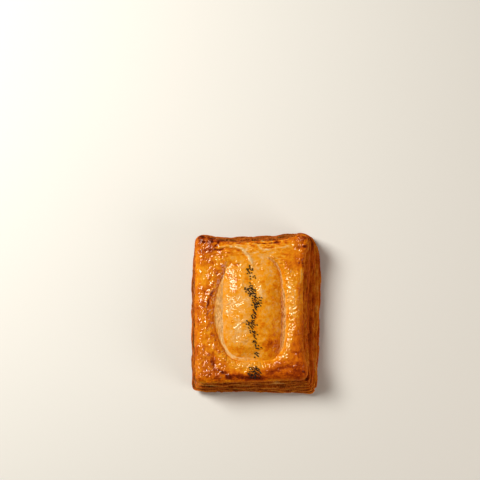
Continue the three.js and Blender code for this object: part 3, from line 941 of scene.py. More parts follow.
FOLDS = (
    # The pale pucker that runs in from the back between the two halves of the dome.
    Stroke(((-36.0, 51.0), (-27.1, 52.6), (-20.7, 53.2), (-15.1, 52.6), (-10.4, 50.2), (-6.4, 46.2),
            (-3.8, 41.0), (-2.6, 34.0)), 1.0, 0.9, -0.3, 0.2),
    Stroke(((-35.0, 49.6), (-27.0, 50.9), (-20.7, 51.3), (-15.6, 50.6), (-11.8, 48.2), (-8.4, 44.6),
            (-6.0, 40.2)), 0.8, -0.55, 0.18),
    # The lip along the back of the frame, with the groove behind it.
    Stroke(((1.6, 51.0), (11.2, 50.4), (16.0, 51.0), (23.0, 52.4), (30.3, 53.4), (35.0, 54.5)),
           0.9, 0.55, -0.22),
    Stroke(((4.8, 52.2), (11.2, 51.6), (15.1, 51.7)), 0.6, -0.7, 0.5),
    # The slit along the back edge, where the sheet lifted off the leaves.
    Stroke(((-29.0, 58.2), (-20.0, 57.4), (-12.0, 57.4), (-4.0, 56.6), (6.0, 55.8), (15.0, 55.8),
            (24.0, 57.0)), 0.6, -0.9, 0.5),
    Stroke(((8.8, 57.4), (14.0, 56.4), (20.0, 56.8)), 0.6, -0.7, 0.5),
    Stroke(((-30.0, 60.6), (-20.0, 59.8), (-10.0, 59.0)), 0.6, 0.5, -0.3),
    Stroke(((2.0, 57.8), (12.0, 58.4), (24.0, 60.0)), 0.6, 0.4, -0.26),
    Stroke(((-24.0, 55.2), (-14.0, 55.4), (-6.0, 54.2), (2.0, 54.0)), 0.5, -0.5, 0.3),
    Stroke(((-33.5, 50.3), (-29.0, 50.2), (-24.0, 51.0)), 0.8, -0.5, 0.4),
    # The bright crown of the pucker.
    Stroke(((-17.0, 52.8), (-12.0, 51.4), (-8.0, 48.4), (-5.0, 44.4), (-3.4, 39.0)), 1.7, 0.5, -0.24, 0.35),
    # The left side of the frame: a fold that leaves the crease and runs down it, and its crest.
    Stroke(((-31.9, 18.7), (-35.0, 16.3), (-36.7, 12.8), (-37.9, 8.0), (-38.3, 2.4), (-37.9, -4.0)),
           0.9, -0.7, 0.22),
    Stroke(((-33.4, 19.8), (-36.6, 17.4), (-38.6, 13.2), (-39.6, 8.0), (-40.0, 2.4)), 0.9, 0.6, -0.2),
    Stroke(((-32.6, 36.5), (-30.2, 28.0), (-30.4, 19.5)), 2.0, -0.35, 0.2),
    Stroke(((-33.9, -29.5), (-33.5, -43.8)), 1.4, -1.0, 0.34, -0.5),
    Stroke(((-36.7, -24.7), (-32.7, -31.1), (-25.5, -35.9)), 1.0, 0.4, -0.04, 0.5),
    # The dome: a fold over its left half, and short ridges beside the seeds.
    Stroke(((-4.6, -5.2), (-8.4, -5.8), (-12.4, -8.0), (-15.6, -11.6), (-18.0, -12.4)), 0.9, 0.6, -0.16),
    Stroke(((-6.0, -7.6), (-10.4, -8.6), (-13.8, -11.2)), 0.9, -0.35, 0.1),
    Stroke(((-24.0, 36.0), (-20.0, 38.4), (-15.0, 37.6), (-12.0, 40.4)), 1.0, -0.45, 0.18),
    Stroke(((-8.0, 31.0), (-11.0, 26.0), (-12.0, 20.0)), 1.0, 0.45, -0.14),
    Stroke(((7.2, -20.3), (1.6, -24.3)), 1.2, 0.55, -0.18),
    Stroke(((0.8, 46.2), (6.4, 42.6)), 1.0, 0.5, -0.2),
    Stroke(((1.5, 15.0), (5.5, 18.5)), 1.3, 0.45, -0.14),
    Stroke(((-22.4, 40.6), (-13.5, 38.0)), 1.3, -0.5, 0.2),
    Stroke(((-22.0, 36.6), (-13.5, 41.0)), 1.0, 0.4, -0.1, 0.6),
    # The front of the frame: its lip, a ridge that faces the light and is painted paler as a painted
    # highlight, and slanting folds at the right.
    Stroke(((-14.5, -38.6), (-7.4, -41.6)), 1.8, 0.55, -0.16, 0.8),
    Stroke(((-43.0, -8.0), (-38.5, -17.5), (-33.5, -28.5), (-27.0, -35.0), (-19.0, -40.0), (-8.0, -43.0)),
           1.7, 0.35, -0.06, 0.75),
    # Rows of small blisters in front of the back lip, and along the facet at the back right.
    Stroke(((-28.5, 50.0), (-24.5, 46.5), (-19.0, 43.5), (-12.0, 37.5)), 1.8, 0.1, -0.08, 0.8),
    Stroke(((12.5, 46.0), (18.0, 42.0), (23.0, 37.5), (26.5, 30.0)), 1.6, 0.45, -0.14, 0.7),
    Stroke(((29.5, -40.2), (24.7, -42.2), (18.0, -44.4), (8.0, -48.6)), 2.0, -0.42, 0.14),
    Stroke(((26.5, -36.6), (20.0, -38.6), (13.0, -40.6)), 1.2, -0.3, 0.1),
    Stroke(((24.0, -44.6), (18.0, -46.2), (12.0, -49.0)), 1.6, 0.25, -0.1),
    Stroke(((36.7, -29.9), (32.7, -31.3), (27.1, -30.7)), 0.7, -0.45, 0.16),
    Stroke(((32.6, -32.0), (32.1, -38.0)), 0.7, 0.4, -0.12),
    # The ridge along the right rim.
    Stroke(((36.0, 38.3), (35.9, 32.7), (35.7, 23.9)), 0.8, 0.65, -0.3),
)

PATCHES = (
    # Glossy, blistered places.
    Patch(-42.0, 56.0, 9.0, 8.0, 0.06, 0.9),
    Patch(-31.0, 43.5, 9.0, 6.5, 0.0, 1.0),
    Patch(-40.0, -38.0, 6.0, 8.0, -0.02, 0.7),
    Patch(-36.0, 28.0, 4.0, 12.0, 0.0, 0.9),
    Patch(-17.5, 31.0, 6.5, 8.0, 0.05, 0.45),
    Patch(-19.0, 9.0, 6.0, 10.0, -0.02, 0.6),
    Patch(-11.0, -20.5, 6.5, 6.5, -0.04, 1.0),
    Patch(-7.5, -25.0, 7.5, 7.0, 0.0, 0.0, 1.1),
    Patch(-4.0, -43.5, 8.0, 5.0, 0.0, 0.3, 0.9),
    Patch(-16.0, -9.0, 5.0, 4.0, -0.02, 0.4),
    Patch(1.0, 38.0, 4.0, 5.0, -0.04, 0.7),
    Patch(-1.0, 22.0, 4.0, 4.0, -0.02, 0.5),
    Patch(6.0, -19.0, 4.0, 3.0, -0.04, 0.7),
    Patch(-36.0, -46.0, 12.0, 9.0, 0.05, 1.0),
    Patch(36.0, 55.0, 7.0, 7.0, 0.03, 0.9),
    # Painted light: the right lip, which faces the light, is painted paler here as well as blistered.
    Patch(27.5, 16.0, 4.0, 26.0, -0.1, 0.6),
    Patch(38.0, -48.0, 5.0, 6.0, 0.02, 0.3),
    # Pale, soft places on the dome, the frame and behind the dome.
    Patch(-42.0, 28.7, 4.0, 8.0, -0.14, -0.5),
    Patch(-7.6, 2.4, 3.2, 9.0, -0.14, -1.0),
    Patch(10.0, 33.0, 4.4, 3.6, -0.16, -0.6),
    Patch(4.6, 15.6, 3.2, 3.2, -0.2, -0.5),
    Patch(9.0, -1.0, 5.0, 6.0, -0.14, -0.5),
    Patch(7.0, 48.5, 11.0, 3.0, -0.14, -0.4),
    Patch(-2.0, 56.0, 22.0, 3.2, -0.16, -0.5),
    # Browner places.
    # The next two: partly browning and partly painted shade on the dome's right flank and right half, which
    # turn from the light.
    Patch(17.0, 22.0, 3.4, 14.0, 0.1),
    Patch(10.0, -6.0, 12.0, 30.0, 0.07),
    Patch(-17.0, 28.0, 9.0, 12.0, 0.1),
    # Partly browning and partly painted shade: the dome's front right, turned from the light.
    Patch(13.5, -26.0, 8.0, 10.0, 0.25, -0.4),
    Patch(-12.5, -28.5, 10.0, 3.0, 0.2),
    Patch(-39.4, 18.3, 4.0, 3.6, 0.08),
    Patch(-41.5, 6.0, 3.4, 9.0, 0.1),
    Patch(-14.5, -49.0, 4.0, 2.0, 0.18, 0.3),
    Patch(-8.0, -50.6, 5.0, 2.2, 0.24, 0.2),
    Patch(1.0, -51.4, 8.0, 2.0, 0.2),
    Patch(34.0, 40.0, 3.6, 5.0, 0.16, 0.3),
    Patch(23.0, -46.0, 17.0, 8.0, 0.23, -0.3),
    Patch(-4.0, -51.0, 12.0, 2.6, 0.1, -0.2),
    Patch(-30.0, -50.0, 18.0, 6.0, 0.1),
    Patch(-38.0, 54.0, 10.0, 9.0, 0.13),
    Patch(-20.0, 58.0, 14.0, 3.0, 0.14),
    Patch(34.0, -30.0, 6.0, 22.0, 0.17, -0.3),
    # Scorched blisters and pits.
    Patch(-30.0, -44.6, 2.6, 1.4, 0.26, 0.6, 0.4),
    Patch(-26.0, -46.8, 2.6, 1.5, 0.34, 0.5, 0.5),
    Patch(-21.6, -50.0, 2.8, 1.6, 0.4, 0.2, 0.5),
    Patch(-41.4, 56.6, 1.1, 1.1, 0.4, 0.0, -0.5),
    Patch(-34.8, 56.8, 1.1, 1.1, 0.4, 0.0, -0.5),
    Patch(-29.9, 56.2, 1.0, 1.2, 0.45, 0.0, -0.5),
    Patch(-31.5, 53.6, 1.4, 1.1, 0.4, 0.0, -0.6),
    Patch(-43.0, 60.4, 2.4, 1.6, 0.14),
    Patch(-35.0, 60.2, 3.0, 1.6, 0.16),
    Patch(-43.8, 47.8, 1.6, 2.4, 0.14),
    Patch(38.3, 60.2, 2.0, 1.6, 0.14),
    Patch(39.0, 52.6, 1.3, 1.3, 0.22, 0.0, -0.4),
    Patch(34.7, 39.6, 1.0, 0.9, 0.24, 0.0, -0.4),
    Patch(37.2, 39.8, 0.9, 0.9, 0.26, 0.0, -0.4),
    Patch(37.5, -46.2, 1.2, 1.0, 0.3, 0.0, -0.4),
    Patch(39.4, -50.6, 1.6, 1.2, 0.2),
)


@dataclass(frozen=True)
class Zone:
    """A place on the top in plan.

    Each of its sides is open or a pair of millimetres: where the zone starts and where it is whole.
    """

    left: tuple[float, float] | None = None
    right: tuple[float, float] | None = None
    front: tuple[float, float] | None = None
    back: tuple[float, float] | None = None

    def share(self, x: np.ndarray, y: np.ndarray) -> np.ndarray:
        """Gives 1 inside the zone, 0 outside it and a smooth slope at its sides."""
        total = np.ones_like(x)
        for side, place in ((self.left, x), (self.right, x), (self.front, y), (self.back, y)):
            if side:
                total = total * smoothstep(*side, place)
        return total


@dataclass(frozen=True)
class TopZones:
    """The places on the top that rose or baked in a way of their own, and those that hold painted light or
    painted shade.
    """

    lip: Zone = Zone(back=(42.0, 30.0))
    painted_light_lip: Zone = Zone(left=(12.0, 20.0))
    closed_crease: Zone = Zone(front=(31.0, 40.0))
    back_right_crease: Zone = Zone(left=(6.0, 10.0), back=(48.0, 44.0))
    painted_light_right_crease: Zone = Zone(left=(5.0, 15.0))
    painted_shade_right_crease: Zone = Zone(left=(5.0, 20.0))
    painted_foot_shadow: Zone = Zone(left=(5.0, 15.0), front=(-30.0, -20.0))
    brown_crease: Zone = Zone(left=(-22.0, -6.0), back=(-24.0, -34.0))
    bare_crease: Zone = Zone(left=(-8.0, 4.0), back=(-24.0, -34.0))
    creamy_crease: Zone = Zone(right=(-4.0, -14.0), back=(-12.0, -26.0))
    scored_crease: Zone = Zone(right=(-10.0, -16.0), back=(34.0, 24.0))
    dome_foot: Zone = Zone(right=(10.0, -10.0))
    left_dome: Zone = Zone(right=(-6.0, -14.0))
    dull_dome: Zone = Zone(left=(2.0, 10.0))
    behind_dome: Zone = Zone(left=(-30.0, -20.0), right=(30.0, 20.0), front=(38.0, 44.0))
    shaded_frame: Zone = Zone(right=(-4.0, -14.0), back=(-24.0, -40.0))
    left_frame: Zone = Zone(right=(-20.0, -28.0), back=(40.0, 10.0))
    right_frame: Zone = Zone(left=(20.0, 38.0))
    even_frame: Zone = Zone(left=(2.0, 16.0), back=(-18.0, -32.0))
    browned_frame: Zone = Zone(left=(-30.0, -14.0), back=(-42.0, -52.0))
    less_browned_frame: Zone = Zone(left=(4.0, 14.0))


@dataclass(frozen=True)
class TopEdges:
    """Where each part of the top begins or ends.

    Distances past the edge of the dome or the crease are in millimetres. The crease's end and its
    outer half are shares of its width, and the rims are shares of the way from the middle to the
    sheet's edge.
    """

    crease_start: Fade = Fade(-0.5, 0.5)
    crease_end: Fade = Fade(0.72, 1.06)
    crease_outer_half: Fade = Fade(0.5, 0.9)
    painted_foot_shadow: Hump = Hump(0.15, 0.35)
    score: Hump = Hump(0.2, 0.55)
    dome: Fade = Fade(-2.0, 0.5)
    dome_foot: Hump = Hump(0.7, 0.6)
    frame: Fade = Fade(-0.3, 1.3)
    front: Fade = Fade(0.45, 0.9)
    side_lip: Hump = Hump(4.8, 3.4)
    front_lip: Hump = Hump(2.6, 2.2)
    rim: Fade = Fade(0.88, 1.0)
    shaded_rim: Fade = Fade(0.82, 0.97)
    painted_light_front_rim: Fade = Fade(0.94, 1.0)
    painted_light_right_rim: Fade = Fade(0.93, 1.0)
    painted_shade_back_rim: Fade = Fade(0.86, 0.99)


@dataclass(frozen=True)
class TopPatterns:
    """The uneven patterns of the top. Stray and wander make every edge and mark ragged."""

    wander: tuple[Pattern, ...] = (Pattern(8.0, 3, 5, 0.8), Pattern(2.4, 2, 6, 0.45))
    stray: tuple[Pattern, ...] = (Pattern(4.5, 3, 7, 0.9), Pattern(4.5, 3, 9, 0.9))
    broken: Pattern = Pattern(5.0, 2, 15, 0.6)
    swells: Pattern = Pattern(14.0, 2, 11)
    facets: Pattern = Pattern(5.5, 3, 23)
    speckle: Pattern = Pattern(2.0, 3, 29, squeeze=(1.0, 0.45, 1.0))
    cloud: Pattern = Pattern(3.0, 3, 33, 0.16)
    brushed: Pattern = Pattern(1.9, 3, 37, 0.42, (0.4, 1.0, 1.0))
    fan: Pattern = Pattern(2.0, 3, 43, squeeze=(0.25, 1.0, 1.0))
    crease_lines: Pattern = Pattern(1.1, 3, 47)
    streaks_at_side: Pattern = Pattern(1.5, 2, 73, squeeze=(1.0, 0.16, 1.0))
    streaks_at_end: Pattern = Pattern(1.5, 2, 79, squeeze=(0.16, 1.0, 1.0))
    washed: Pattern = Pattern(9.0, 2, 91, 0.3)


@dataclass(frozen=True)
class SkinDetail:
    """One size of blister or wrinkle in the puffed skin, and what it does there.

    Blisters have a share of places that hold one, and wrinkles have none. The lifts are in
    millimetres, and the shaded one is added on the frame's front left.
    """

    size: float
    salt: int
    lift: float
    shaded_lift: float
    bake: float
    share: float | None = None

    def over(self, smooth_ground: np.ndarray, crumpled_ground: np.ndarray) -> np.ndarray:
        """Gives the detail's form from 0 to 1: blisters lie smooth, and wrinkles run crumpled."""
        if self.share is None:
            return Noise.ridges(crumpled_ground, self.size, self.salt)
        return Noise.blisters(smooth_ground, self.size, self.share, self.salt)


SKIN = (
    SkinDetail(5.0, 31, 0.56, 0.2, 0.12, share=0.4),
    SkinDetail(2.8, 41, 0.34, 0.12, 0.08, share=0.5),
    SkinDetail(1.6, 51, 0.08, 0.0, 0.06, share=0.55),
    SkinDetail(3.0, 61, 0.5, 0.0, -0.12),
    SkinDetail(1.6, 67, 0.2, 0.14, -0.05),
)


@dataclass(frozen=True)
class LipWrinkles:
    """Short wrinkles that cross the crease's outer lip at the front right, in millimetres."""

    turn: Hump = Hump(-1.25, 0.75)
    outside: Hump = Hump(2.6, 2.4)
    radius: float = 34.0
    squeeze: float = 0.15
    size: float = 2.2
    salt: int = 97
    height: float = 0.55

    def lift(self, turn: np.ndarray, outside: np.ndarray) -> np.ndarray:
        """Works out their lift.

        Args:
            turn: Direction from the dome's middle, in radians.
            outside: Distance outside the crease.

        Returns:
            The lift in millimetres.
        """
        here = self.turn.at(turn) * self.outside.at(outside)
        round_trip = flat_points(turn * self.radius, outside * self.squeeze)
        return self.height * here * Noise.smooth(round_trip, self.size, self.salt)


@dataclass(frozen=True)
class BackFan:
    """Fine streaks that fan out slantwise behind the dome, where the pucker was pulled tight."""

    middle: tuple[float, float] = (-6.0, 51.0)
    half: tuple[float, float] = (10.0, 6.0)
    direction: tuple[float, float] = (0.82, 0.57)

    def strength(self, x: np.ndarray, y: np.ndarray, pattern: Pattern) -> np.ndarray:
        """Gives the pattern's value along the slanting direction, fading out past the half widths."""
        along, across = self.direction
        turned = flat_points(along * x - across * y, across * x + along * y)
        away = ((x - self.middle[0]) / self.half[0]) ** 2 + ((y - self.middle[1]) / self.half[1]) ** 2
        return pattern.over(turned) * np.exp(-away)


@dataclass(frozen=True)
class TopLifts:
    """Heights of the top's fine relief, in millimetres."""

    swells: float = 0.55
    facets: float = 0.42
    grain: float = 0.2
    threads: float = 0.14
    skin: float = -0.5
    crease_grain: float = 0.16
    crease_speckle: float = 0.16
    crease_lines: float = 0.16
    creamy_lines: float = 0.24
    score: float = -0.2
    fan: float = 0.35
    brushed: float = 0.5


@dataclass(frozen=True)
class TopShades:
    """How much browner each part or pattern makes the top, where 0 is raw and 1 is burnt. Most of it is
    baking; the lip facing the light, the rims and the crease's right and foot carry painted light and painted
    shade.
    """

    frame: float = 0.5
    dome: float = 0.36
    crease: float = 0.16
    painted_shade_right_crease: float = 0.1
    crease_grain: float = 0.22
    crease_speckle: float = 0.2
    dome_foot: float = -0.12
    frame_clouds: float = 0.5
    threads: float = -0.16
    behind_dome: float = -0.06
    fan: float = 0.4
    fan_gaps: float = -0.1
    swells: float = 0.16
    evened: float = 0.65
    grain: float = 0.12
    skin: float = 0.02
    rim: float = 0.06
    painted_light_lip: float = -0.08
    right_frame: float = 0.03
    left_frame: float = 0.045
    browned_frame: float = 0.18
    less_browned: float = 0.6
    left_dome: float = -0.03
    painted_light_front_rim: float = -0.16
    painted_light_right_rim: float = -0.06
    painted_shade_back_rim: float = 0.12
    brushed_rim: float = 0.7
    painted_foot_shadow: float = 0.4
    painted_light_right_crease: float = -0.16
    creamy_crease: float = -0.1
    score: float = 0.22
    brown_crease: float = 0.2
    crease_lines: float = 0.24
    creamy_lines: float = 0.36


@dataclass(frozen=True)
class TopBubbling:
    """How strongly each part blistered, where 1 is blistered all over."""

    frame: float = 0.36
    dome: float = 0.15
    lip: float = 0.6
    front_lip: float = 0.3
    least: float = 0.05
    pressed_flat: float = 0.9


@dataclass(frozen=True)
class TopGlaze:
    """How much egg wash lies on the top, where 1 is a full coat, and what takes it away."""

    even: float = 0.4
    bubbly: float = 0.7
    crease: float = 0.97
    scorched: Fade = Fade(0.68, 0.9)
    scorched_share: float = 0.9
    dome: float = 0.22
    dull_dome: float = 0.42


@dataclass(frozen=True)
class TopFlourAndShade:
    """How far the pressed crease is mixed towards greyish beige, where 1 is all the way: floury dough, with
    painted shade that is strongest at its right.
    """

    even: float = 0.55
    right: float = 0.25
    grain: float = 0.6
    speckle: float = -0.5
    # Less of the mix under the painted shadow at the crease's foot.
    foot_shadow: float = 0.5
    creamy: float = 0.6


@dataclass
class Surface:
    """The top's relief and baking, one value for each point of the sheet.

    The lift is in millimetres along the outward direction. The bake, the glaze and the mix towards
    greyish beige, which is flour and painted shade, go to the mesh attributes that the finish reads.
    """

    lift: np.ndarray
    bake: np.ndarray
    glaze: np.ndarray
    dry: np.ndarray


@dataclass
class CrustMap:
    """How the top sheet rose, browned and took its glaze, worked out at every point of the sheet.

    It takes the smooth sheet's points in millimetres, and their places across and along the unit
    square. The rest are the sizes, shades and patterns that it works with.
    """

    form: TartForm
    ground: np.ndarray
    p: np.ndarray
    q: np.ndarray
    zones: TopZones = TopZones()
    edges: TopEdges = TopEdges()
    patterns: TopPatterns = TopPatterns()
    bubbling: TopBubbling = TopBubbling()
    lifts: TopLifts = TopLifts()
    shades: TopShades = TopShades()
    glaze: TopGlaze = TopGlaze()
    flour_and_shade_mix: TopFlourAndShade = TopFlourAndShade()
    lip_wrinkles: LipWrinkles = LipWrinkles()
    back_fan: BackFan = BackFan()
    broken_range: tuple[float, float] = (0.3, 1.3)
    broken_mean: float = 0.9
    thread_size: float = 2.3
    thread_salt: int = 63
    line_turn: float = 5.0
    dome_grain: float = 0.25
    crease_grain: float = 0.3
    crease_swells: float = 0.2

    def __post_init__(self) -> None:
        """Works out what every later step needs: places, parts, marks and patterns."""
        self.x, self.y = self.ground[..., 0], self.ground[..., 1]
        self.map_parts()
        self.map_marks()
        self.map_patterns()

    def within(self, zone: Zone) -> np.ndarray:
        """Gives how far each point lies inside a zone."""
        return zone.share(self.x, self.y)

    def map_parts(self) -> None:
        """Works out how far each point belongs to the crease, the dome, the frame, the lip and the rim."""
        form, zones, edges = self.form, self.zones, self.edges
        self.beyond = form.beyond_dome(self.x, self.y)
        self.width = form.crease_width(self.x, self.y)
        self.outside = self.beyond - self.width
        self.ragged = self.beyond + sum(pattern.over(self.ground) for pattern in self.patterns.wander)
        pressed = edges.crease_start.at(self.ragged) * edges.crease_end.before(self.ragged / self.width)
        closed = self.within(zones.closed_crease) * (1 - self.within(zones.back_right_crease))
        self.crease = pressed * (1 - closed)
        self.dome = edges.dome.before(self.beyond)
        self.frame = edges.frame.at(self.outside)
        self.rim = edges.rim.at(ring_level(self.p, self.q))
        self.at_front = edges.front.at(-form.dome_place(self.x, self.y)[1])
        side, front = edges.side_lip, edges.front_lip
        middle = lerp(side.middle, front.middle, self.at_front)
        half_width = lerp(side.half_width, front.half_width, self.at_front)
        self.lip = bell(self.outside - middle, half_width) * self.within(zones.lip)

    def map_marks(self) -> None:
        """Lays the folds and patches over the crumpled ground, and works out how blistered it is."""
        across, along = (pattern.over(self.ground) for pattern in self.patterns.stray)
        self.crumpled = self.ground + flat_points(across, along)
        x, y = self.x + across, self.y + along
        broken = np.clip(self.broken_mean + self.patterns.broken.over(self.ground), *self.broken_range)
        self.marks = [(fold, fold.strength(x, y) * broken) for fold in FOLDS]
        self.marks += [(patch, patch.strength(x, y)) for patch in PATCHES]
        share = self.bubbling
        bubbly = share.frame * self.frame + share.dome * self.dome
        bubbly += (share.lip + share.front_lip * self.at_front) * self.lip + self.marked(Effect.BLISTER)
        self.bubbly = np.clip(bubbly, share.least, 1.0) * (1 - share.pressed_flat * self.crease)

    def marked(self, effect: Effect) -> np.ndarray:
        """Adds up one effect of all the folds and patches."""
        return sum(getattr(mark, effect.value) * strength for mark, strength in self.marks)

    def map_patterns(self) -> None:
        """Works out the patterns that both the relief and the bake follow."""
        ground, patterns = self.ground, self.patterns
        self.swells = patterns.swells.over(ground)
        self.facets = patterns.facets.over(ground)
        self.skin = [(detail, detail.over(ground, self.crumpled)) for detail in SKIN]
        self.threads = Noise.ridges(self.crumpled, self.thread_size, self.thread_salt) ** 2
        at_side = smoothstep(-0.1, 0.1, np.abs(self.p) - np.abs(self.q))
        streaks = lerp(patterns.streaks_at_end.over(ground), patterns.streaks_at_side.over(ground), at_side)
        grain = lerp(self.dome_grain, 1.0, self.frame) * lerp(1.0, self.crease_grain, self.crease)
        self.grain = grain * streaks
        self.speckle = patterns.speckle.over(ground)
        self.brushed = patterns.brushed.over(ground)
        self.behind = self.within(self.zones.behind_dome) * self.frame
        self.fan = self.back_fan.strength(self.x, self.y, patterns.fan)
        self.turn = self.form.dome_turn(self.x, self.y)
        self.lines = patterns.crease_lines.over(flat_points(self.beyond, self.line_turn * self.turn))
        self.creamy = self.within(self.zones.creamy_crease)
        self.scored = self.edges.score.at(self.ragged - self.width) * self.within(self.zones.scored_crease)
        # Painted shadow: a dark band in the crease at the foot of the dome's right side, which is turned from
        # the light.
        foot_shadow = self.edges.painted_foot_shadow.at(np.clip(self.beyond / self.width, 0, 1))
        self.foot_shadow = foot_shadow * self.within(self.zones.painted_foot_shadow)

    def surface(self) -> Surface:
        """Works out the finished relief and baking.

        Returns:
            The lift, the bake, the glaze, and the mix of flour and painted shade of each point.
        """
        bake = self.part_bake() + self.pattern_bake()
        glaze = self.glazing(bake)
        return Surface(self.lifting(), bake + self.rim_bake() + self.crease_bake(), glaze, self.dryness())

    def lifting(self) -> np.ndarray:
        """Gives the fine relief in millimetres: swells, grain, skin, folds and the crease's own lines."""
        lifts, crease = self.lifts, self.crease
        shaded = self.within(self.zones.shaded_frame) * self.frame
        lift = lifts.swells * self.swells + lifts.facets * self.facets
        lift = lift * lerp(1.0, self.crease_swells, crease)
        lift += lifts.grain * self.grain + lifts.threads * self.threads * (1 - crease)
        skin = sum((detail.lift + detail.shaded_lift * shaded) * form for detail, form in self.skin)
        lift += self.bubbly * (skin + lifts.skin)
        lift += self.lip_wrinkles.lift(self.turn, self.outside)
        lift += self.marked(Effect.LIFT)
        lift += lifts.fan * self.fan + lifts.brushed * self.brushed * self.behind
        in_crease = lifts.crease_speckle * self.speckle + lifts.crease_grain * self.grain
        in_crease += (lifts.crease_lines + lifts.creamy_lines * self.creamy) * self.lines
        return lift + in_crease * crease + lifts.score * self.scored

    def part_bake(self) -> np.ndarray:
        """Gives how brown the frame, the dome and the crease baked, and the zones within them, with painted
        shade on the crease's right and painted light on the lip that faces the light.
        """
        shades, zones, frame, crease = self.shades, self.zones, self.frame, self.crease
        bake = shades.frame * frame + shades.dome * (1 - frame) * (1 - crease)
        at_dome = self.edges.dome_foot.at(self.beyond) * self.within(zones.dome_foot)
        # Painted shade: the crease's right is painted browner.
        pressed = shades.crease + shades.painted_shade_right_crease * self.within(zones.painted_shade_right_crease)
        pressed += shades.crease_grain * self.grain + shades.crease_speckle * self.speckle
        bake += (pressed + shades.dome_foot * at_dome) * crease
        browned = self.within(zones.browned_frame)
        browned = browned * (1 - shades.less_browned * self.within(zones.less_browned_frame))
        bake += frame * (shades.right_frame * self.within(zones.right_frame) + shades.browned_frame * browned)
        bake += shades.left_frame * frame * self.within(zones.left_frame)
        bake += shades.left_dome * self.dome * self.within(zones.left_dome)
        # Painted light: the lip that faces the light, at the front and the right, is painted paler.
        painted_light_places = np.maximum(self.at_front, self.within(zones.painted_light_lip))
        return bake + shades.rim * self.rim + shades.painted_light_lip * self.lip * painted_light_places

    def pattern_bake(self) -> np.ndarray:
        """Gives how the patterns, the folds and the blistered skin changed the bake."""
        shades, frame, crease = self.shades, self.frame, self.crease
        cloudy = self.patterns.cloud.over(self.ground) + shades.threads * self.threads
        bake = cloudy * (self.dome + shades.frame_clouds * frame)
        bake += (self.brushed + shades.behind_dome) * self.behind
        bake += shades.fan * self.fan + shades.fan_gaps * np.abs(self.fan)
        even = 1 - shades.evened * self.within(self.zones.even_frame) * frame
        bake += shades.swells * (self.swells + self.facets) * lerp(1.0, self.crease_grain, crease) * even
        bake += shades.grain * self.grain + self.marked(Effect.BAKE)
        return bake + self.bubbly * (sum(detail.bake * form for detail, form in self.skin) + shades.skin)

    def rim_bake(self) -> np.ndarray:
        """Gives how the rims differ: painted light makes the front and right rims paler, and painted shade
        makes the back rim browner, with brushed streaks.
        """
        shades, edges = self.shades, self.edges
        # Painted light on the front and right rims, which are turned from the light, and painted shade on the
        # back rim.
        bake = shades.painted_light_front_rim * edges.painted_light_front_rim.at(-self.q) + shades.painted_light_right_rim * edges.painted_light_right_rim.at(self.p)
        return bake + (shades.painted_shade_back_rim + shades.brushed_rim * self.brushed) * edges.painted_shade_back_rim.at(self.q)

    def crease_bake(self) -> np.ndarray:
        """Gives the crease's own shades: painted shadow at its foot on the right, painted light on the outer
        half of its right, its cream, its score and its lines.
        """
        shades, zones = self.shades, self.zones
        # Painted light: the outer half of the crease's right, which faces the light, is painted paler.
        painted_light_outer_half = self.edges.crease_outer_half.at(self.beyond / self.width) * self.within(zones.painted_light_right_crease)
        bake = shades.painted_foot_shadow * self.foot_shadow + shades.painted_light_right_crease * painted_light_outer_half
        bake += shades.creamy_crease * self.creamy + shades.brown_crease * self.within(zones.brown_crease)
        bake += (shades.crease_lines + shades.creamy_lines * self.creamy) * self.lines
        return bake * self.crease + shades.score * self.scored

    def glazing(self, bake: np.ndarray) -> np.ndarray:
        """Gives how much egg wash stayed: little in the crease and on scorched places, none on the rim."""
        share = self.glaze
        glaze = share.even + share.bubbly * self.bubbly + self.patterns.washed.over(self.ground)
        glaze = glaze * (1 - share.crease * self.crease)
        shaded_rim = self.edges.shaded_rim.at(np.maximum(self.p, -self.q))
        scorched = share.scorched_share * share.scorched.at(bake)
        glaze *= 1 - np.maximum(np.maximum(self.rim, shaded_rim), scorched)
        return glaze * (1 - self.dome * (share.dome + share.dull_dome * self.within(self.zones.dull_dome)))

    def dryness(self) -> np.ndarray:
        """Gives how far the crease is mixed towards greyish beige, floury dough and painted shade: most at
        the right, where the painted shade is, least under the painted shadow at its foot and where it is
        creamy.
        """
        flour_and_shade_mix, zones = self.flour_and_shade_mix, self.zones
        # Painted shade: more of the greyish-beige mix at the crease's right.
        dry = flour_and_shade_mix.even + flour_and_shade_mix.right * self.within(zones.painted_shade_right_crease)
        dry += flour_and_shade_mix.grain * self.grain + flour_and_shade_mix.speckle * self.speckle
        dry = dry * self.crease * (1 - self.within(zones.bare_crease))
        return dry * (1 - flour_and_shade_mix.foot_shadow * self.foot_shadow) * (1 - flour_and_shade_mix.creamy * self.creamy)


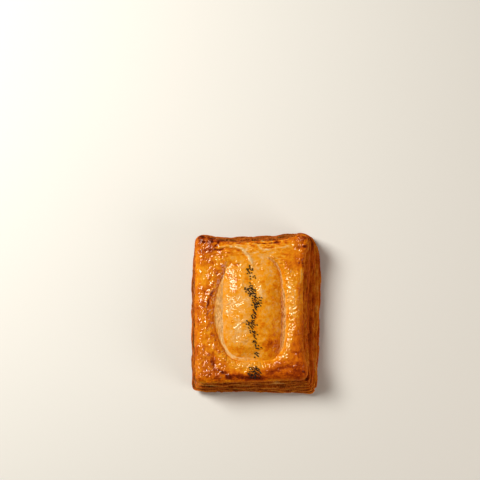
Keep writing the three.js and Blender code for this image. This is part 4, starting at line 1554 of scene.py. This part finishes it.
@dataclass
class TopSheet:
    """The glazed top sheet: puffed frame, pressed crease and dome, with its blisters and folds.

    The rim's rows hang below its edge: each is its reach outwards in millimetres and its depth in
    thicknesses. The last one tucks under the sheet and isn't ragged.
    """

    form: TartForm
    columns: int = 262
    rows: int = 336
    thickness: float = 1.5
    crowding: float = 0.6
    rim_rows: tuple[tuple[float, float], ...] = ((0.1, -0.45), (-0.25, -1.0), (-5.0, -2.6))
    rim_ragged: Pattern = Pattern(2.5, 2, 83, 0.25)
    rim_bake: float = 0.62

    def build(self) -> bpy.types.Object:
        """Builds the sheet as one closed shell.

        Returns:
            The piece, with its attributes for bake, glaze, and the mix of flour and painted shade.
        """
        deselect_all()
        bpy.ops.mesh.primitive_grid_add(x_subdivisions=self.columns, y_subdivisions=self.rows, size=2)
        piece = take_primitive("top_sheet")
        extrude_rim(piece, len(self.rim_rows))
        square = read_points(piece)
        on_top = square[:, 2] > -0.5
        count = (self.rows + 1, self.columns + 1)
        p = self.crowd(square[on_top, 0]).reshape(count)
        q = self.crowd(square[on_top, 1]).reshape(count)
        ground = self.lay(p, q)
        surface = CrustMap(self.form, ground, p, q).surface()
        top = ground + grid_normals(ground) * surface.lift[..., None]
        points = np.empty_like(square)
        points[on_top] = top.reshape(-1, 3)
        self.hang_rim(points, square, top)
        write_points(piece, points)
        for name, values, rim in (("bake", surface.bake, self.rim_bake), ("glaze", surface.glaze, 0.0),
                                  ("dry", surface.dry, 0.0)):
            whole = np.full(len(square), rim)
            whole[on_top] = values.ravel()
            write_attribute(piece, name, whole)
        shade_smooth(piece)
        return piece

    def crowd(self, place: np.ndarray) -> np.ndarray:
        """Moves the grid's lines closer together towards the sheet's edge."""
        bend = self.crowding * math.pi / 2
        return np.sin(place * bend) / math.sin(bend)

    def lay(self, p: np.ndarray, q: np.ndarray) -> np.ndarray:
        """Lays the unit square over the tart.

        Args:
            p: Across.
            q: Along.

        Returns:
            Points in millimetres, before any fine relief.
        """
        form = self.form
        x, y = form.top_sheet.place(p, q)
        level = ring_level(p, q)
        edge_x, edge_y = form.top_sheet.place(p / level, q / level)
        inside = np.hypot(edge_x - x, edge_y - y)
        edge = form.leaf_level(form.turn(p, q), 0) + form.leaf_thickness / 2
        return np.stack((x, y, lerp(form.top_height(x, y), edge, form.edge_drop(inside))), axis=-1)

    def hang_rim(self, points: np.ndarray, square: np.ndarray, top: np.ndarray) -> None:
        """Places the rows below the sheet's edge: its cut face, then the tuck under it.

        Args:
            points: All points, filled in place.
            square: The same points as the grid had them, with the row as whole steps down.
            top: The finished top, in rows and columns.
        """
        column = np.rint((square[:, 0] + 1) / 2 * self.columns).astype(int)
        row = np.rint((square[:, 1] + 1) / 2 * self.rows).astype(int)
        for step, (out, down) in enumerate(self.rim_rows, start=1):
            here = np.abs(square[:, 2] + step) < 0.5
            edge = top[row[here], column[here]]
            out_x, out_y = self.form.outward(square[here, 0], square[here, 1])
            reach = out + (self.rim_ragged.over(edge) if step < len(self.rim_rows) else 0.0)
            points[here, 0] = edge[:, 0] + out_x * reach
            points[here, 1] = edge[:, 1] + out_y * reach
            points[here, 2] = edge[:, 2] + down * self.thickness


# ----------------------------------------------------------------------------------------------
# The leaves round the sides


@dataclass(frozen=True)
class LeafPlace:
    """Where one thin leaf lies among the solid's leaves, in millimetres.

    Its level is a number among the solid's leaves, and leaves of one group wave together.
    """

    number: int
    level: float
    above: float
    setback: float
    group: int


@dataclass(frozen=True)
class Notch:
    """Bits broken off a leaf's edge: their width, salt and depth, and how rare they are."""

    size: float
    salt: int
    depth: float
    rare: Fade

    def bite(self, points: np.ndarray) -> np.ndarray:
        """Gives how deep the edge is broken back, in millimetres."""
        return self.depth * self.rare.at(Noise.smooth(points, self.size, self.salt))


@dataclass(frozen=True)
class LeafPatterns:
    """How uneven the leaves are. The shared patterns run through a whole group, and the own ones don't."""

    shared_reach: Pattern = Pattern(12.0, 2, 101, 0.45)
    own_reach: Pattern = Pattern(6.0, 3, 103, 0.4)
    notches: tuple[Notch, ...] = (
        Notch(5.0, 107, 0.9, Fade(0.3, 0.5)), Notch(9.0, 108, 1.6, Fade(0.42, 0.52)))
    shared_height: Pattern = Pattern(17.0, 2, 109, 0.55)
    own_height: Pattern = Pattern(8.0, 2, 111, 0.24)
    curl: Pattern = Pattern(11.0, 2, 113, 0.45)
    thickness: Pattern = Pattern(4.0, 2, 127, 0.45)
    own_bake: Pattern = Pattern(7.0, 3, 131, 0.3)
    shared_bake: Pattern = Pattern(20.0, 2, 133, 0.2)


@dataclass
class LeafStack:
    """Thin flaky leaves round the sides, in bundles, from the top sheet's edge down to the base.

    A bundle lies at each of the solid's leaves, with loose leaves between. A pale mark is its side,
    its middle and half width along that side in millimetres, and its change of bake. The profile is
    one leaf's section: inwards in depths, and up in thicknesses.
    """

    form: TartForm
    patterns: LeafPatterns = LeafPatterns()
    finer: int = 8
    bundle: int = 3
    loose: int = 2
    apart: float = 0.5
    top_bundle_drop: float = 0.9
    loose_start: float = 1.2
    loose_group: int = 20
    thickness: float = 0.52
    depth: float = 4.4
    set_back: float = 1.25
    bundle_inset: float = 0.6
    own_salt_step: float = 31.7
    group_salt_step: float = 57.3
    glaze: float = 0.3
    edge_bake: float = 0.4
    # Painted shade: the gaps behind each leaf's edge are painted browner than the edge. On the right the gaps
    # get less of it and the edges more, for the shade on that side.
    painted_gap_shade: float = 0.8
    gap_depth: float = 1.1
    # Painted light and shade by side: the left and back, which face the light, are painted browner, and the
    # right and front, turned from it, paler.
    painted_side_light_and_shade: dict[Side, float] = field(default_factory=lambda: {
        Side.LEFT: 0.14, Side.RIGHT: -0.08, Side.FRONT: -0.06, Side.BACK: 0.14})
    right_painted_gap_shade: float = 0.54
    right_painted_edge_shade: float = 0.54
    right_band: float = 0.1
    # Painted shade: the leaves on every side but the right are mixed towards a shaded tan.
    painted_tan_shade: float = 0.3
    painted_tan_shade_fades: Fade = Fade(0.8, 1.0)
    front_wave: float = 0.9
    front_edge: Fade = Fade(0.9, 1.0)
    side_turns: Fade = Fade(-0.9, 0.9)
    pale_leaves: tuple[int, int] = (5, 13)
    pale_marks: tuple[tuple[Side, float, float, float], ...] = (
        (Side.LEFT, -28.0, 9.0, -0.45), (Side.LEFT, 8.0, 7.0, -0.25), (Side.FRONT, 17.0, 4.5, -0.45),
        (Side.FRONT, -38.0, 8.0, -0.25), (Side.FRONT, -12.0, 6.0, -0.2))
    profile: tuple[tuple[float, float], ...] = (
        (-1.0, -0.5), (-0.45, -0.5), (-0.2, -0.5), (-0.05, -0.44), (-0.008, -0.2), (-0.008, 0.2),
        (-0.05, 0.44), (-0.2, 0.5), (-0.45, 0.5), (-1.0, 0.5))

    def build(self) -> list[bpy.types.Object]:
        """Builds the leaves, joined in three pieces.

        Returns:
            The upper, middle and lower leaves.
        """
        leaves = [self.leaf(place) for place in self.places()]
        third = math.ceil(len(leaves) / 3)
        names = ("upper_leaves", "middle_leaves", "lower_leaves")
        return [join_pieces(leaves[index * third:(index + 1) * third], name)
                for index, name in enumerate(names)]

    def places(self) -> list[LeafPlace]:
        """Lists the leaves from the top down: a bundle at each of the solid's leaves, loose ones between."""
        places = []
        last = len(self.form.leaf_gap)
        for leaf in range(last + 1):
            for layer in range(self.bundle):
                drop = self.top_bundle_drop if leaf == 0 else 0.0
                above = ((self.bundle - 1) / 2 - layer) * self.apart - drop
                places.append(LeafPlace(len(places), float(leaf), above, 0.0, leaf))
            for layer in range(self.loose if leaf < last else 0):
                level = leaf + (layer + self.loose_start) / (self.loose + self.loose_start)
                places.append(LeafPlace(len(places), level, 0.0, self.set_back, self.loose_group + leaf))
        return places

    def leaf(self, place: LeafPlace) -> bpy.types.Object:
        """Builds one leaf as a closed ring of dough."""
        form = self.form
        p, q = form.spokes(self.finer)
        turn = form.turn(p, q)
        line_x, line_y = form.side_line(p, q, place.level / len(form.leaf_gap))
        flat = np.zeros_like(turn)
        own = np.stack((line_x, line_y, flat + self.own_salt_step * place.number), axis=-1)
        shared = np.stack((line_x, line_y, flat + self.group_salt_step * place.group), axis=-1)
        reach, height = self.edge(place, q, turn, own, shared)
        curl = self.patterns.curl.over(own)
        thick = self.thickness * (1 + self.patterns.thickness.over(own))
        out_x, out_y = form.outward(p, q)
        points = np.empty((len(p), len(self.profile), 3))
        for step, (inward, side) in enumerate(self.profile):
            out = reach + inward * self.depth
            points[:, step, 0] = line_x + out_x * out
            points[:, step, 1] = line_y + out_y * out
            points[:, step, 2] = height + side * thick + curl * (1 + inward) ** 2
        bake = self.bake(place, p, q, own, shared)
        # Painted shade: the shaded tan mix, on every side but the right.
        painted_tan_shade = np.repeat((self.painted_tan_shade * self.painted_tan_shade_fades.before(p))[:, None], len(self.profile), axis=1)
        return bend_ring(f"leaf_{place.number}", points, bake=bake, dry=painted_tan_shade,
                         glaze=np.full(bake.shape, self.glaze))

    def edge(self, place: LeafPlace, q: np.ndarray, turn: np.ndarray, own: np.ndarray,
             shared: np.ndarray) -> tuple[np.ndarray, np.ndarray]:
        """Works out the line of one leaf's edge, with bolder waves along the front.

        Args:
            place: Which leaf it is.
            q: Along of each spoke.
            turn: How far round each spoke lies.
            own: Points that feed the leaf's own patterns.
            shared: Points that feed its group's patterns.

        Returns:
            How far each spoke stands out from the side's line, and its height, in millimetres.
        """
        form, patterns = self.form, self.patterns
        lower = min(int(place.level), len(form.leaf_gap) - 1)
        part = place.level - lower
        bolder = 1 + self.front_wave * self.front_edge.at(-q) * min(1.0, place.level)
        reach = lerp(form.leaf_reach(turn, lower), form.leaf_reach(turn, lower + 1), part)
        reach += (patterns.shared_reach.over(shared) + patterns.own_reach.over(own)) * bolder
        reach -= place.setback + self.bundle_inset + sum(notch.bite(own) for notch in patterns.notches)
        height = form.leaf_level(turn, place.level) + place.above
        height += (patterns.shared_height.over(shared) + patterns.own_height.over(own)) * bolder
        return reach, height

    def bake(self, place: LeafPlace, p: np.ndarray, q: np.ndarray, own: np.ndarray,
             shared: np.ndarray) -> np.ndarray:
        """Works out how brown one leaf is: painted shade makes it browner in the gaps behind its edge than at
        the edge, and painted light and shade change it by its side.

        Args:
            place: Which leaf it is.
            p: Across of each spoke.
            q: Along of each spoke.
            own: Points that feed the leaf's own patterns.
            shared: Points that feed its group's patterns.

        Returns:
            The bake, as spokes by profile.
        """
        patches = self.patterns.own_bake.over(own) + self.patterns.shared_bake.over(shared)
        # Painted light and shade: each side is painted browner or paler by how the light falls on it.
        across = lerp(self.painted_side_light_and_shade[Side.LEFT], self.painted_side_light_and_shade[Side.RIGHT], self.side_turns.at(p))
        along = lerp(self.painted_side_light_and_shade[Side.FRONT], self.painted_side_light_and_shade[Side.BACK], self.side_turns.at(q))
        patches += np.where(np.abs(p) >= np.abs(q), across, along)
        if self.pale_leaves[0] <= place.number < self.pale_leaves[1]:
            for side, middle, half, change in self.pale_marks:
                run, there = (own[:, 1], p < -0.99) if side is Side.LEFT else (own[:, 0], q < -0.99)
                patches += change * bell(run - middle, half) * there
        on_right = self.form.on_right_side(p, q)
        patches -= self.right_band * math.cos(math.pi * (place.level - 1) / 2) * on_right
        # Painted shade in the gaps behind the edge; on the right the edge itself is painted browner for the
        # shade there.
        painted_gap_shade = lerp(self.painted_gap_shade, self.right_painted_gap_shade, on_right)
        edge_bake = lerp(self.edge_bake, self.right_painted_edge_shade, on_right)
        inward = np.array([step[0] for step in self.profile])
        behind = smoothstep(0.0, self.gap_depth, -inward * self.depth)
        return lerp(edge_bake[:, None], painted_gap_shade[:, None], behind) + patches[:, None]


@dataclass
class InnerDough:
    """The dough that shows between the leaves: a ring of finer layers set back behind their edges, painted
    darker in the grooves between its layers as painted shade.
    """

    form: TartForm
    finer: int = 8
    rows: int = 56
    setback: float = 2.1
    right_setback: float = 1.1
    depth: float = 5.0
    top_gap: float = 1.3
    floor: float = 1.2
    layer: float = 0.75
    layer_salt: int = 137
    layer_drawn_out: tuple[float, float, float] = (0.1, 0.1, 1.0)
    layer_reach: float = 0.7
    uneven: Pattern = Pattern(5.0, 3, 139, 0.6, (1.0, 1.0, 1.8))
    hidden_bake: float = 0.7
    layer_bake: float = 0.5
    painted_groove_shade: float = 0.25
    uneven_bake: Pattern = Pattern(10.0, 2, 141, 0.2)

    def build(self) -> bpy.types.Object:
        """Builds the ring as one closed piece."""
        form = self.form
        p, q = form.spokes(self.finer)
        turn = form.turn(p, q)
        out_x, out_y = form.outward(p, q)
        points = np.empty((len(p), self.rows + 2, 3))
        bake = np.full((len(p), self.rows + 2), self.hidden_bake)
        setback = lerp(self.setback, self.right_setback, form.on_right_side(p, q))
        for row in range(self.rows):
            share = 1 - row / (self.rows - 1)
            line_x, line_y = form.side_line(p, q, share)
            height = lerp(form.leaf_level(turn, 0) - self.top_gap, np.full_like(turn, self.floor), share)
            place = np.stack((line_x, line_y, height), axis=-1)
            layers = Noise.ridges(place * self.layer_drawn_out, 2 * self.layer, self.layer_salt)
            out = self.layer_reach * layers + self.uneven.over(place) - setback
            points[:, row] = np.stack((line_x + out_x * out, line_y + out_y * out, height), axis=-1)
            # Painted shade darkens the grooves between the layers.
            bake[:, row] = self.layer_bake + self.painted_groove_shade * (1 - layers) + self.uneven_bake.over(place)
        for row, source in ((self.rows, self.rows - 1), (self.rows + 1, 0)):
            points[:, row] = points[:, source]
            points[:, row, 0] -= out_x * self.depth
            points[:, row, 1] -= out_y * self.depth
        return bend_ring("inner_dough", points, bake=bake, glaze=np.zeros(bake.shape))


@dataclass
class BaseSheet:
    """The flat sheet that the tart stands on, browned by the tray.

    Its rim goes up in rows: each is its height and how far it is tucked in, in millimetres.
    """

    form: TartForm
    columns: int = 120
    rows: int = 148
    rim_heights: tuple[float, ...] = (0.0, 0.55, 2.4, 2.4)
    rim_tucks: tuple[float, ...] = (2.1, 1.2, 1.2, 5.2)
    tuck_fade: int = 8
    row_apart: float = 7.0
    ragged: Pattern = Pattern(5.0, 3, 149, 0.35)
    dimples: Pattern = Pattern(6.0, 3, 151)
    dimple_depth: float = 0.3
    toast: float = 0.62
    toast_pattern: Pattern = Pattern(14.0, 3, 157, 0.2)
    rim_toast: float = 0.2
    rim_toast_fade: int = 6
    glaze: float = 0.1

    def build(self) -> bpy.types.Object:
        """Builds the sheet as one closed shell, its flat side down.

        The point in its exact middle has no place across and along, as outward has none to give.
        """
        deselect_all()
        bpy.ops.mesh.primitive_grid_add(x_subdivisions=self.columns, y_subdivisions=self.rows, size=2)
        piece = take_primitive("base_sheet")
        extrude_rim(piece, len(self.rim_heights) - 1)
        square = read_points(piece)
        p, q, step = square[:, 0], square[:, 1], -square[:, 2]
        level = ring_level(p, q)
        x, y = self.form.low_leaf.place(p, q)
        out_x, out_y = self.form.outward(p / level, q / level)
        steps = range(len(self.rim_heights))
        place = np.stack((x, y, self.row_apart * np.rint(step)), axis=-1)
        reach = self.ragged.over(place) * (level > 1 - 1e-6)
        reach -= np.interp(step, steps, self.rim_tucks) * level**self.tuck_fade
        dimples = self.dimple_depth * np.clip(self.dimples.over(place), 0, 1) * (1 - level**self.tuck_fade)
        height = np.interp(step, steps, self.rim_heights) + np.where(step < 0.5, dimples, 0)
        write_points(piece, np.stack((x + out_x * reach, y + out_y * reach, height), axis=-1))
        self.turn_over(piece)
        toast = self.toast + self.toast_pattern.over(place) + self.rim_toast * level**self.rim_toast_fade
        write_attribute(piece, "bake", toast)
        write_attribute(piece, "glaze", np.full(len(square), self.glaze))
        shade_smooth(piece)
        return piece

    @staticmethod
    def turn_over(piece: bpy.types.Object) -> None:
        """Turns the faces over, because the grid's top is the sheet's underside."""
        deselect_all()
        piece.select_set(True)
        bpy.context.view_layer.objects.active = piece
        bpy.ops.object.mode_set(mode="EDIT")
        bpy.ops.mesh.select_all(action="SELECT")
        bpy.ops.mesh.flip_normals()
        bpy.ops.object.mode_set(mode="OBJECT")


# ----------------------------------------------------------------------------------------------
# Poppy seeds


@dataclass
class PoppySeeds:
    """Kidney-shaped poppy seeds, in a line over the dome and a small heap on the frame.

    The stretches and the heap are the solid's own: a stretch is its start and end along the tart, its
    count and its spread. The clumps and the top of the heap are more seeds: each is its middle across
    and along, its half widths and its count. Lengths are in millimetres.
    """

    form: TartForm
    ground: bpy.types.Object
    length: float = 1.3
    width: float = 1.05
    flatness: float = 0.92
    bend: float = 0.2
    sunk: float = 0.3
    spacing: float = 1.12
    stretches: tuple[tuple[float, float, int, float], ...] = (
        (38, 22, 12, 1.5), (22, -13, 50, 1.35), (-13, -35, 22, 1.5))
    heap: tuple[float, float, float, float, int] = (-2.6, -47.6, 3.6, 3.3, 16)
    clumps: tuple[tuple[float, float, float, float, int], ...] = (
        (-4.6, 34.5, 2.8, 4.0, 4), (-1.0, 28.4, 2.6, 3.0, 3), (-5.6, 18.8, 5.0, 3.8, 10),
        (-2.4, 14.5, 3.6, 5.0, 8), (0.4, 9.6, 5.2, 4.6, 14), (-1.6, 1.0, 2.2, 8.0, 5),
        (-3.6, -9.0, 4.8, 3.8, 9), (-0.8, -17.0, 3.4, 6.0, 3), (2.2, -27.0, 4.2, 3.4, 4))
    heap_top: tuple[float, float, float, float, int] = (-1.4, -46.4, 5.4, 5.0, 26)
    clump_spacing: float = 0.95
    heap_spacing: float = 0.95
    golden_angle: float = math.pi * (3 - math.sqrt(5))
    stray_share: float = 0.16
    stray_reach: float = 2.6
    draw_seed: int = 20261
    tries: int = 40
    places: list[tuple[float, float]] = field(default_factory=list)

    def try_place(self, x: float, y: float, spacing: float) -> bool:
        """Keeps a place if it is clear of the seeds before it."""
        clear = all(math.hypot(other[0] - x, other[1] - y) >= spacing for other in self.places)
        if clear:
            self.places.append((x, y))
        return clear

    def scatter(self, draws: Draws) -> None:
        """Strews the solid's seeds along the line and over the heap, as it draws them."""
        for start, end, count, spread in self.stretches:
            placed = tries = 0
            while placed < count and tries < count * self.tries:
                tries += 1
                y = lerp(start, end, draws.next())
                wide = self.stray_reach if draws.next() < self.stray_share else 1.0
                x = float(self.form.seed_line_x(y)) + wide * spread * (draws.next() + draws.next() - 1)
                placed += self.try_place(x, y, self.spacing)
        self.pile(draws, self.heap, self.spacing)

    def pile(self, draws: Draws, clump: tuple[float, float, float, float, int], spacing: float) -> None:
        """Drops seeds round one place, most of them near its middle.

        Args:
            draws: The row of draws.
            clump: The middle across and along, the half widths and the count.
            spacing: Least distance between two seeds.
        """
        x, y, half_width, half_length, count = clump
        placed = tries = 0
        while placed < count and tries < count * self.tries:
            tries += 1
            spot_x = x + half_width * (draws.next() + draws.next() - 1)
            spot_y = y + half_length * (draws.next() + draws.next() - 1)
            placed += self.try_place(spot_x, spot_y, spacing)

    def model_seed(self) -> bpy.types.Object:
        """Models one seed: a ball drawn out, flattened and bent like a kidney."""
        deselect_all()
        bpy.ops.mesh.primitive_ico_sphere_add(subdivisions=2, radius=0.5)
        seed = take_primitive("seed")
        points = read_points(seed)
        points[:, 1] += self.bend * np.cos(points[:, 0] * math.pi)
        points *= (self.length, self.width, self.width * self.flatness)
        write_points(seed, points)
        return seed

    def build(self) -> bpy.types.Object:
        """Builds every seed as one joined mesh, resting on the finished crust.

        Returns:
            The piece, with the attribute tint for each seed's shade.
        """
        draws = Draws(self.draw_seed)
        self.scatter(draws)
        for clump in self.clumps:
            self.pile(draws, clump, self.clump_spacing)
        self.pile(draws, self.heap_top, self.heap_spacing)
        seed = self.model_seed()
        shape = read_points(seed) / MM
        crust = BVHTree.FromObject(self.ground, bpy.context.evaluated_depsgraph_get())
        faces = np.array([tuple(face.vertices) for face in seed.data.polygons])
        every_point, every_face, tints = [], [], []
        for number, (x, y) in enumerate(self.places):
            hit, normal, _, _ = crust.ray_cast(Vector((x * MM, y * MM, 1.0)), Vector((0, 0, -1)))
            angle = number * self.golden_angle + draws.next()
            roll = draws.next() * math.pi
            tint = draws.next()
            turn = (normal.to_track_quat("Z", "Y").to_matrix() @ Matrix.Rotation(angle, 3, "Z")
                    @ Matrix.Rotation(roll, 3, "X"))
            centre = (hit + normal * (1 - self.sunk) * self.width * MM / 2) / MM
            every_point.append(shape @ np.array(turn).T + np.array(centre))
            every_face.append(faces + number * len(shape))
            tints.append(np.full(len(shape), tint))
        bpy.data.objects.remove(seed)
        mesh = bpy.data.meshes.new("poppy_seeds")
        mesh.from_pydata(np.concatenate(every_point) * MM, [], np.concatenate(every_face).tolist())
        piece = bpy.data.objects.new("poppy_seeds", mesh)
        bpy.context.scene.collection.objects.link(piece)
        write_attribute(piece, "tint", np.concatenate(tints))
        shade_smooth(piece)
        return piece


# ----------------------------------------------------------------------------------------------
# Studio


@dataclass(frozen=True)
class Lamp:
    """One soft square light: its place and side in metres, its power in watts and its colour."""

    name: str
    place: tuple[float, float, float]
    size: float
    power: float
    colour: str

    def hang(self) -> None:
        """Hangs the light, turned to the tart."""
        deselect_all()
        bpy.ops.object.light_add(type="AREA", location=self.place)
        light = bpy.context.object
        light.name = self.name
        light.data.size = self.size
        light.data.energy = self.power
        light.data.color = linear(self.colour)[:3]
        light.rotation_euler = (-Vector(self.place)).to_track_quat("-Z", "Y").to_euler()


@dataclass(frozen=True)
class Studio:
    """A pale floor, soft light from the back left and a camera above, as the tart was photographed."""

    lamps: tuple[Lamp, ...] = (
        Lamp("key", (-0.62, 0.42, 0.78), 0.4, 13.8, "#fff4e0"),
        Lamp("fill", (0.85, -0.42, 0.4), 0.6, 4.6, "#ffecd8"))
    room_light: float = 0.12
    room_colour: str = "#ffdcb4"
    floor_size: float = 6.0
    floor_drop: float = 0.0001
    floor_colour: str = "#e2e9f2"
    floor_roughness: float = 0.8
    mm_per_pixel: float = 0.82
    image_pixels: int = 480
    pastry_pixel: tuple[float, float] = (256.0, 313.0)
    camera_height: float = 1.0
    sensor_mm: float = 36.0
    nearest_seen: float = 0.01

    def build(self) -> None:
        """Builds the floor, the lights and the camera."""
        self.lay_floor()
        for lamp in self.lamps:
            lamp.hang()
        self.fill_room()
        self.place_camera()
        bpy.context.scene.view_settings.view_transform = "Standard"

    def lay_floor(self) -> None:
        """Lays the floor just under the tart."""
        deselect_all()
        bpy.ops.mesh.primitive_plane_add(size=self.floor_size, location=(0, 0, -self.floor_drop))
        floor = take_primitive("floor")
        material = bpy.data.materials.new("pale_studio_floor")
        material.use_nodes = True
        shader = material.node_tree.nodes["Principled BSDF"]
        shader.inputs["Base Color"].default_value = linear(self.floor_colour)
        shader.inputs["Roughness"].default_value = self.floor_roughness
        floor.data.materials.append(material)

    def fill_room(self) -> None:
        """Fills the room with even warm light."""
        world = bpy.data.worlds.new("studio_room")
        world.use_nodes = True
        backdrop = world.node_tree.nodes["Background"]
        backdrop.inputs["Color"].default_value = linear(self.room_colour)
        backdrop.inputs["Strength"].default_value = self.room_light
        bpy.context.scene.world = world

    def place_camera(self) -> None:
        """Places the camera above the tart, turned to the middle of the picture."""
        middle = self.image_pixels / 2
        aim = Vector(((middle - self.pastry_pixel[0]) * self.mm_per_pixel * MM,
                      (self.pastry_pixel[1] - middle) * self.mm_per_pixel * MM, 0.0))
        stand = Vector((0.0, 0.0, self.camera_height))
        deselect_all()
        bpy.ops.object.camera_add(location=stand)
        camera = bpy.context.object
        tilt_x = math.atan2(aim.y, self.camera_height)
        tilt_y = math.atan2(aim.x, math.hypot(aim.y, self.camera_height))
        camera.rotation_euler = (tilt_x, -tilt_y, 0.0)
        picture_width = self.image_pixels * self.mm_per_pixel * MM
        camera.data.sensor_width = self.sensor_mm
        camera.data.lens = self.sensor_mm * (aim - stand).length / picture_width
        camera.data.clip_start = self.nearest_seen
        bpy.context.scene.camera = camera


def main() -> None:
    """Builds the tart and its studio, and reports each piece."""
    logging.basicConfig(level=logging.INFO)
    form = TartForm()
    glazed, flaky, husk = GLAZED_CRUST.material(), FLAKY_LEAVES.material(), PoppySeedCoat().material()
    top = TopSheet(form).build()
    finish_piece(top, glazed)
    for leaves in LeafStack(form).build():
        finish_piece(leaves, flaky)
    finish_piece(InnerDough(form).build(), flaky)
    finish_piece(BaseSheet(form).build(), flaky)
    finish_piece(PoppySeeds(form, top).build(), husk)
    Studio().build()


if __name__ == "__main__":
    main()
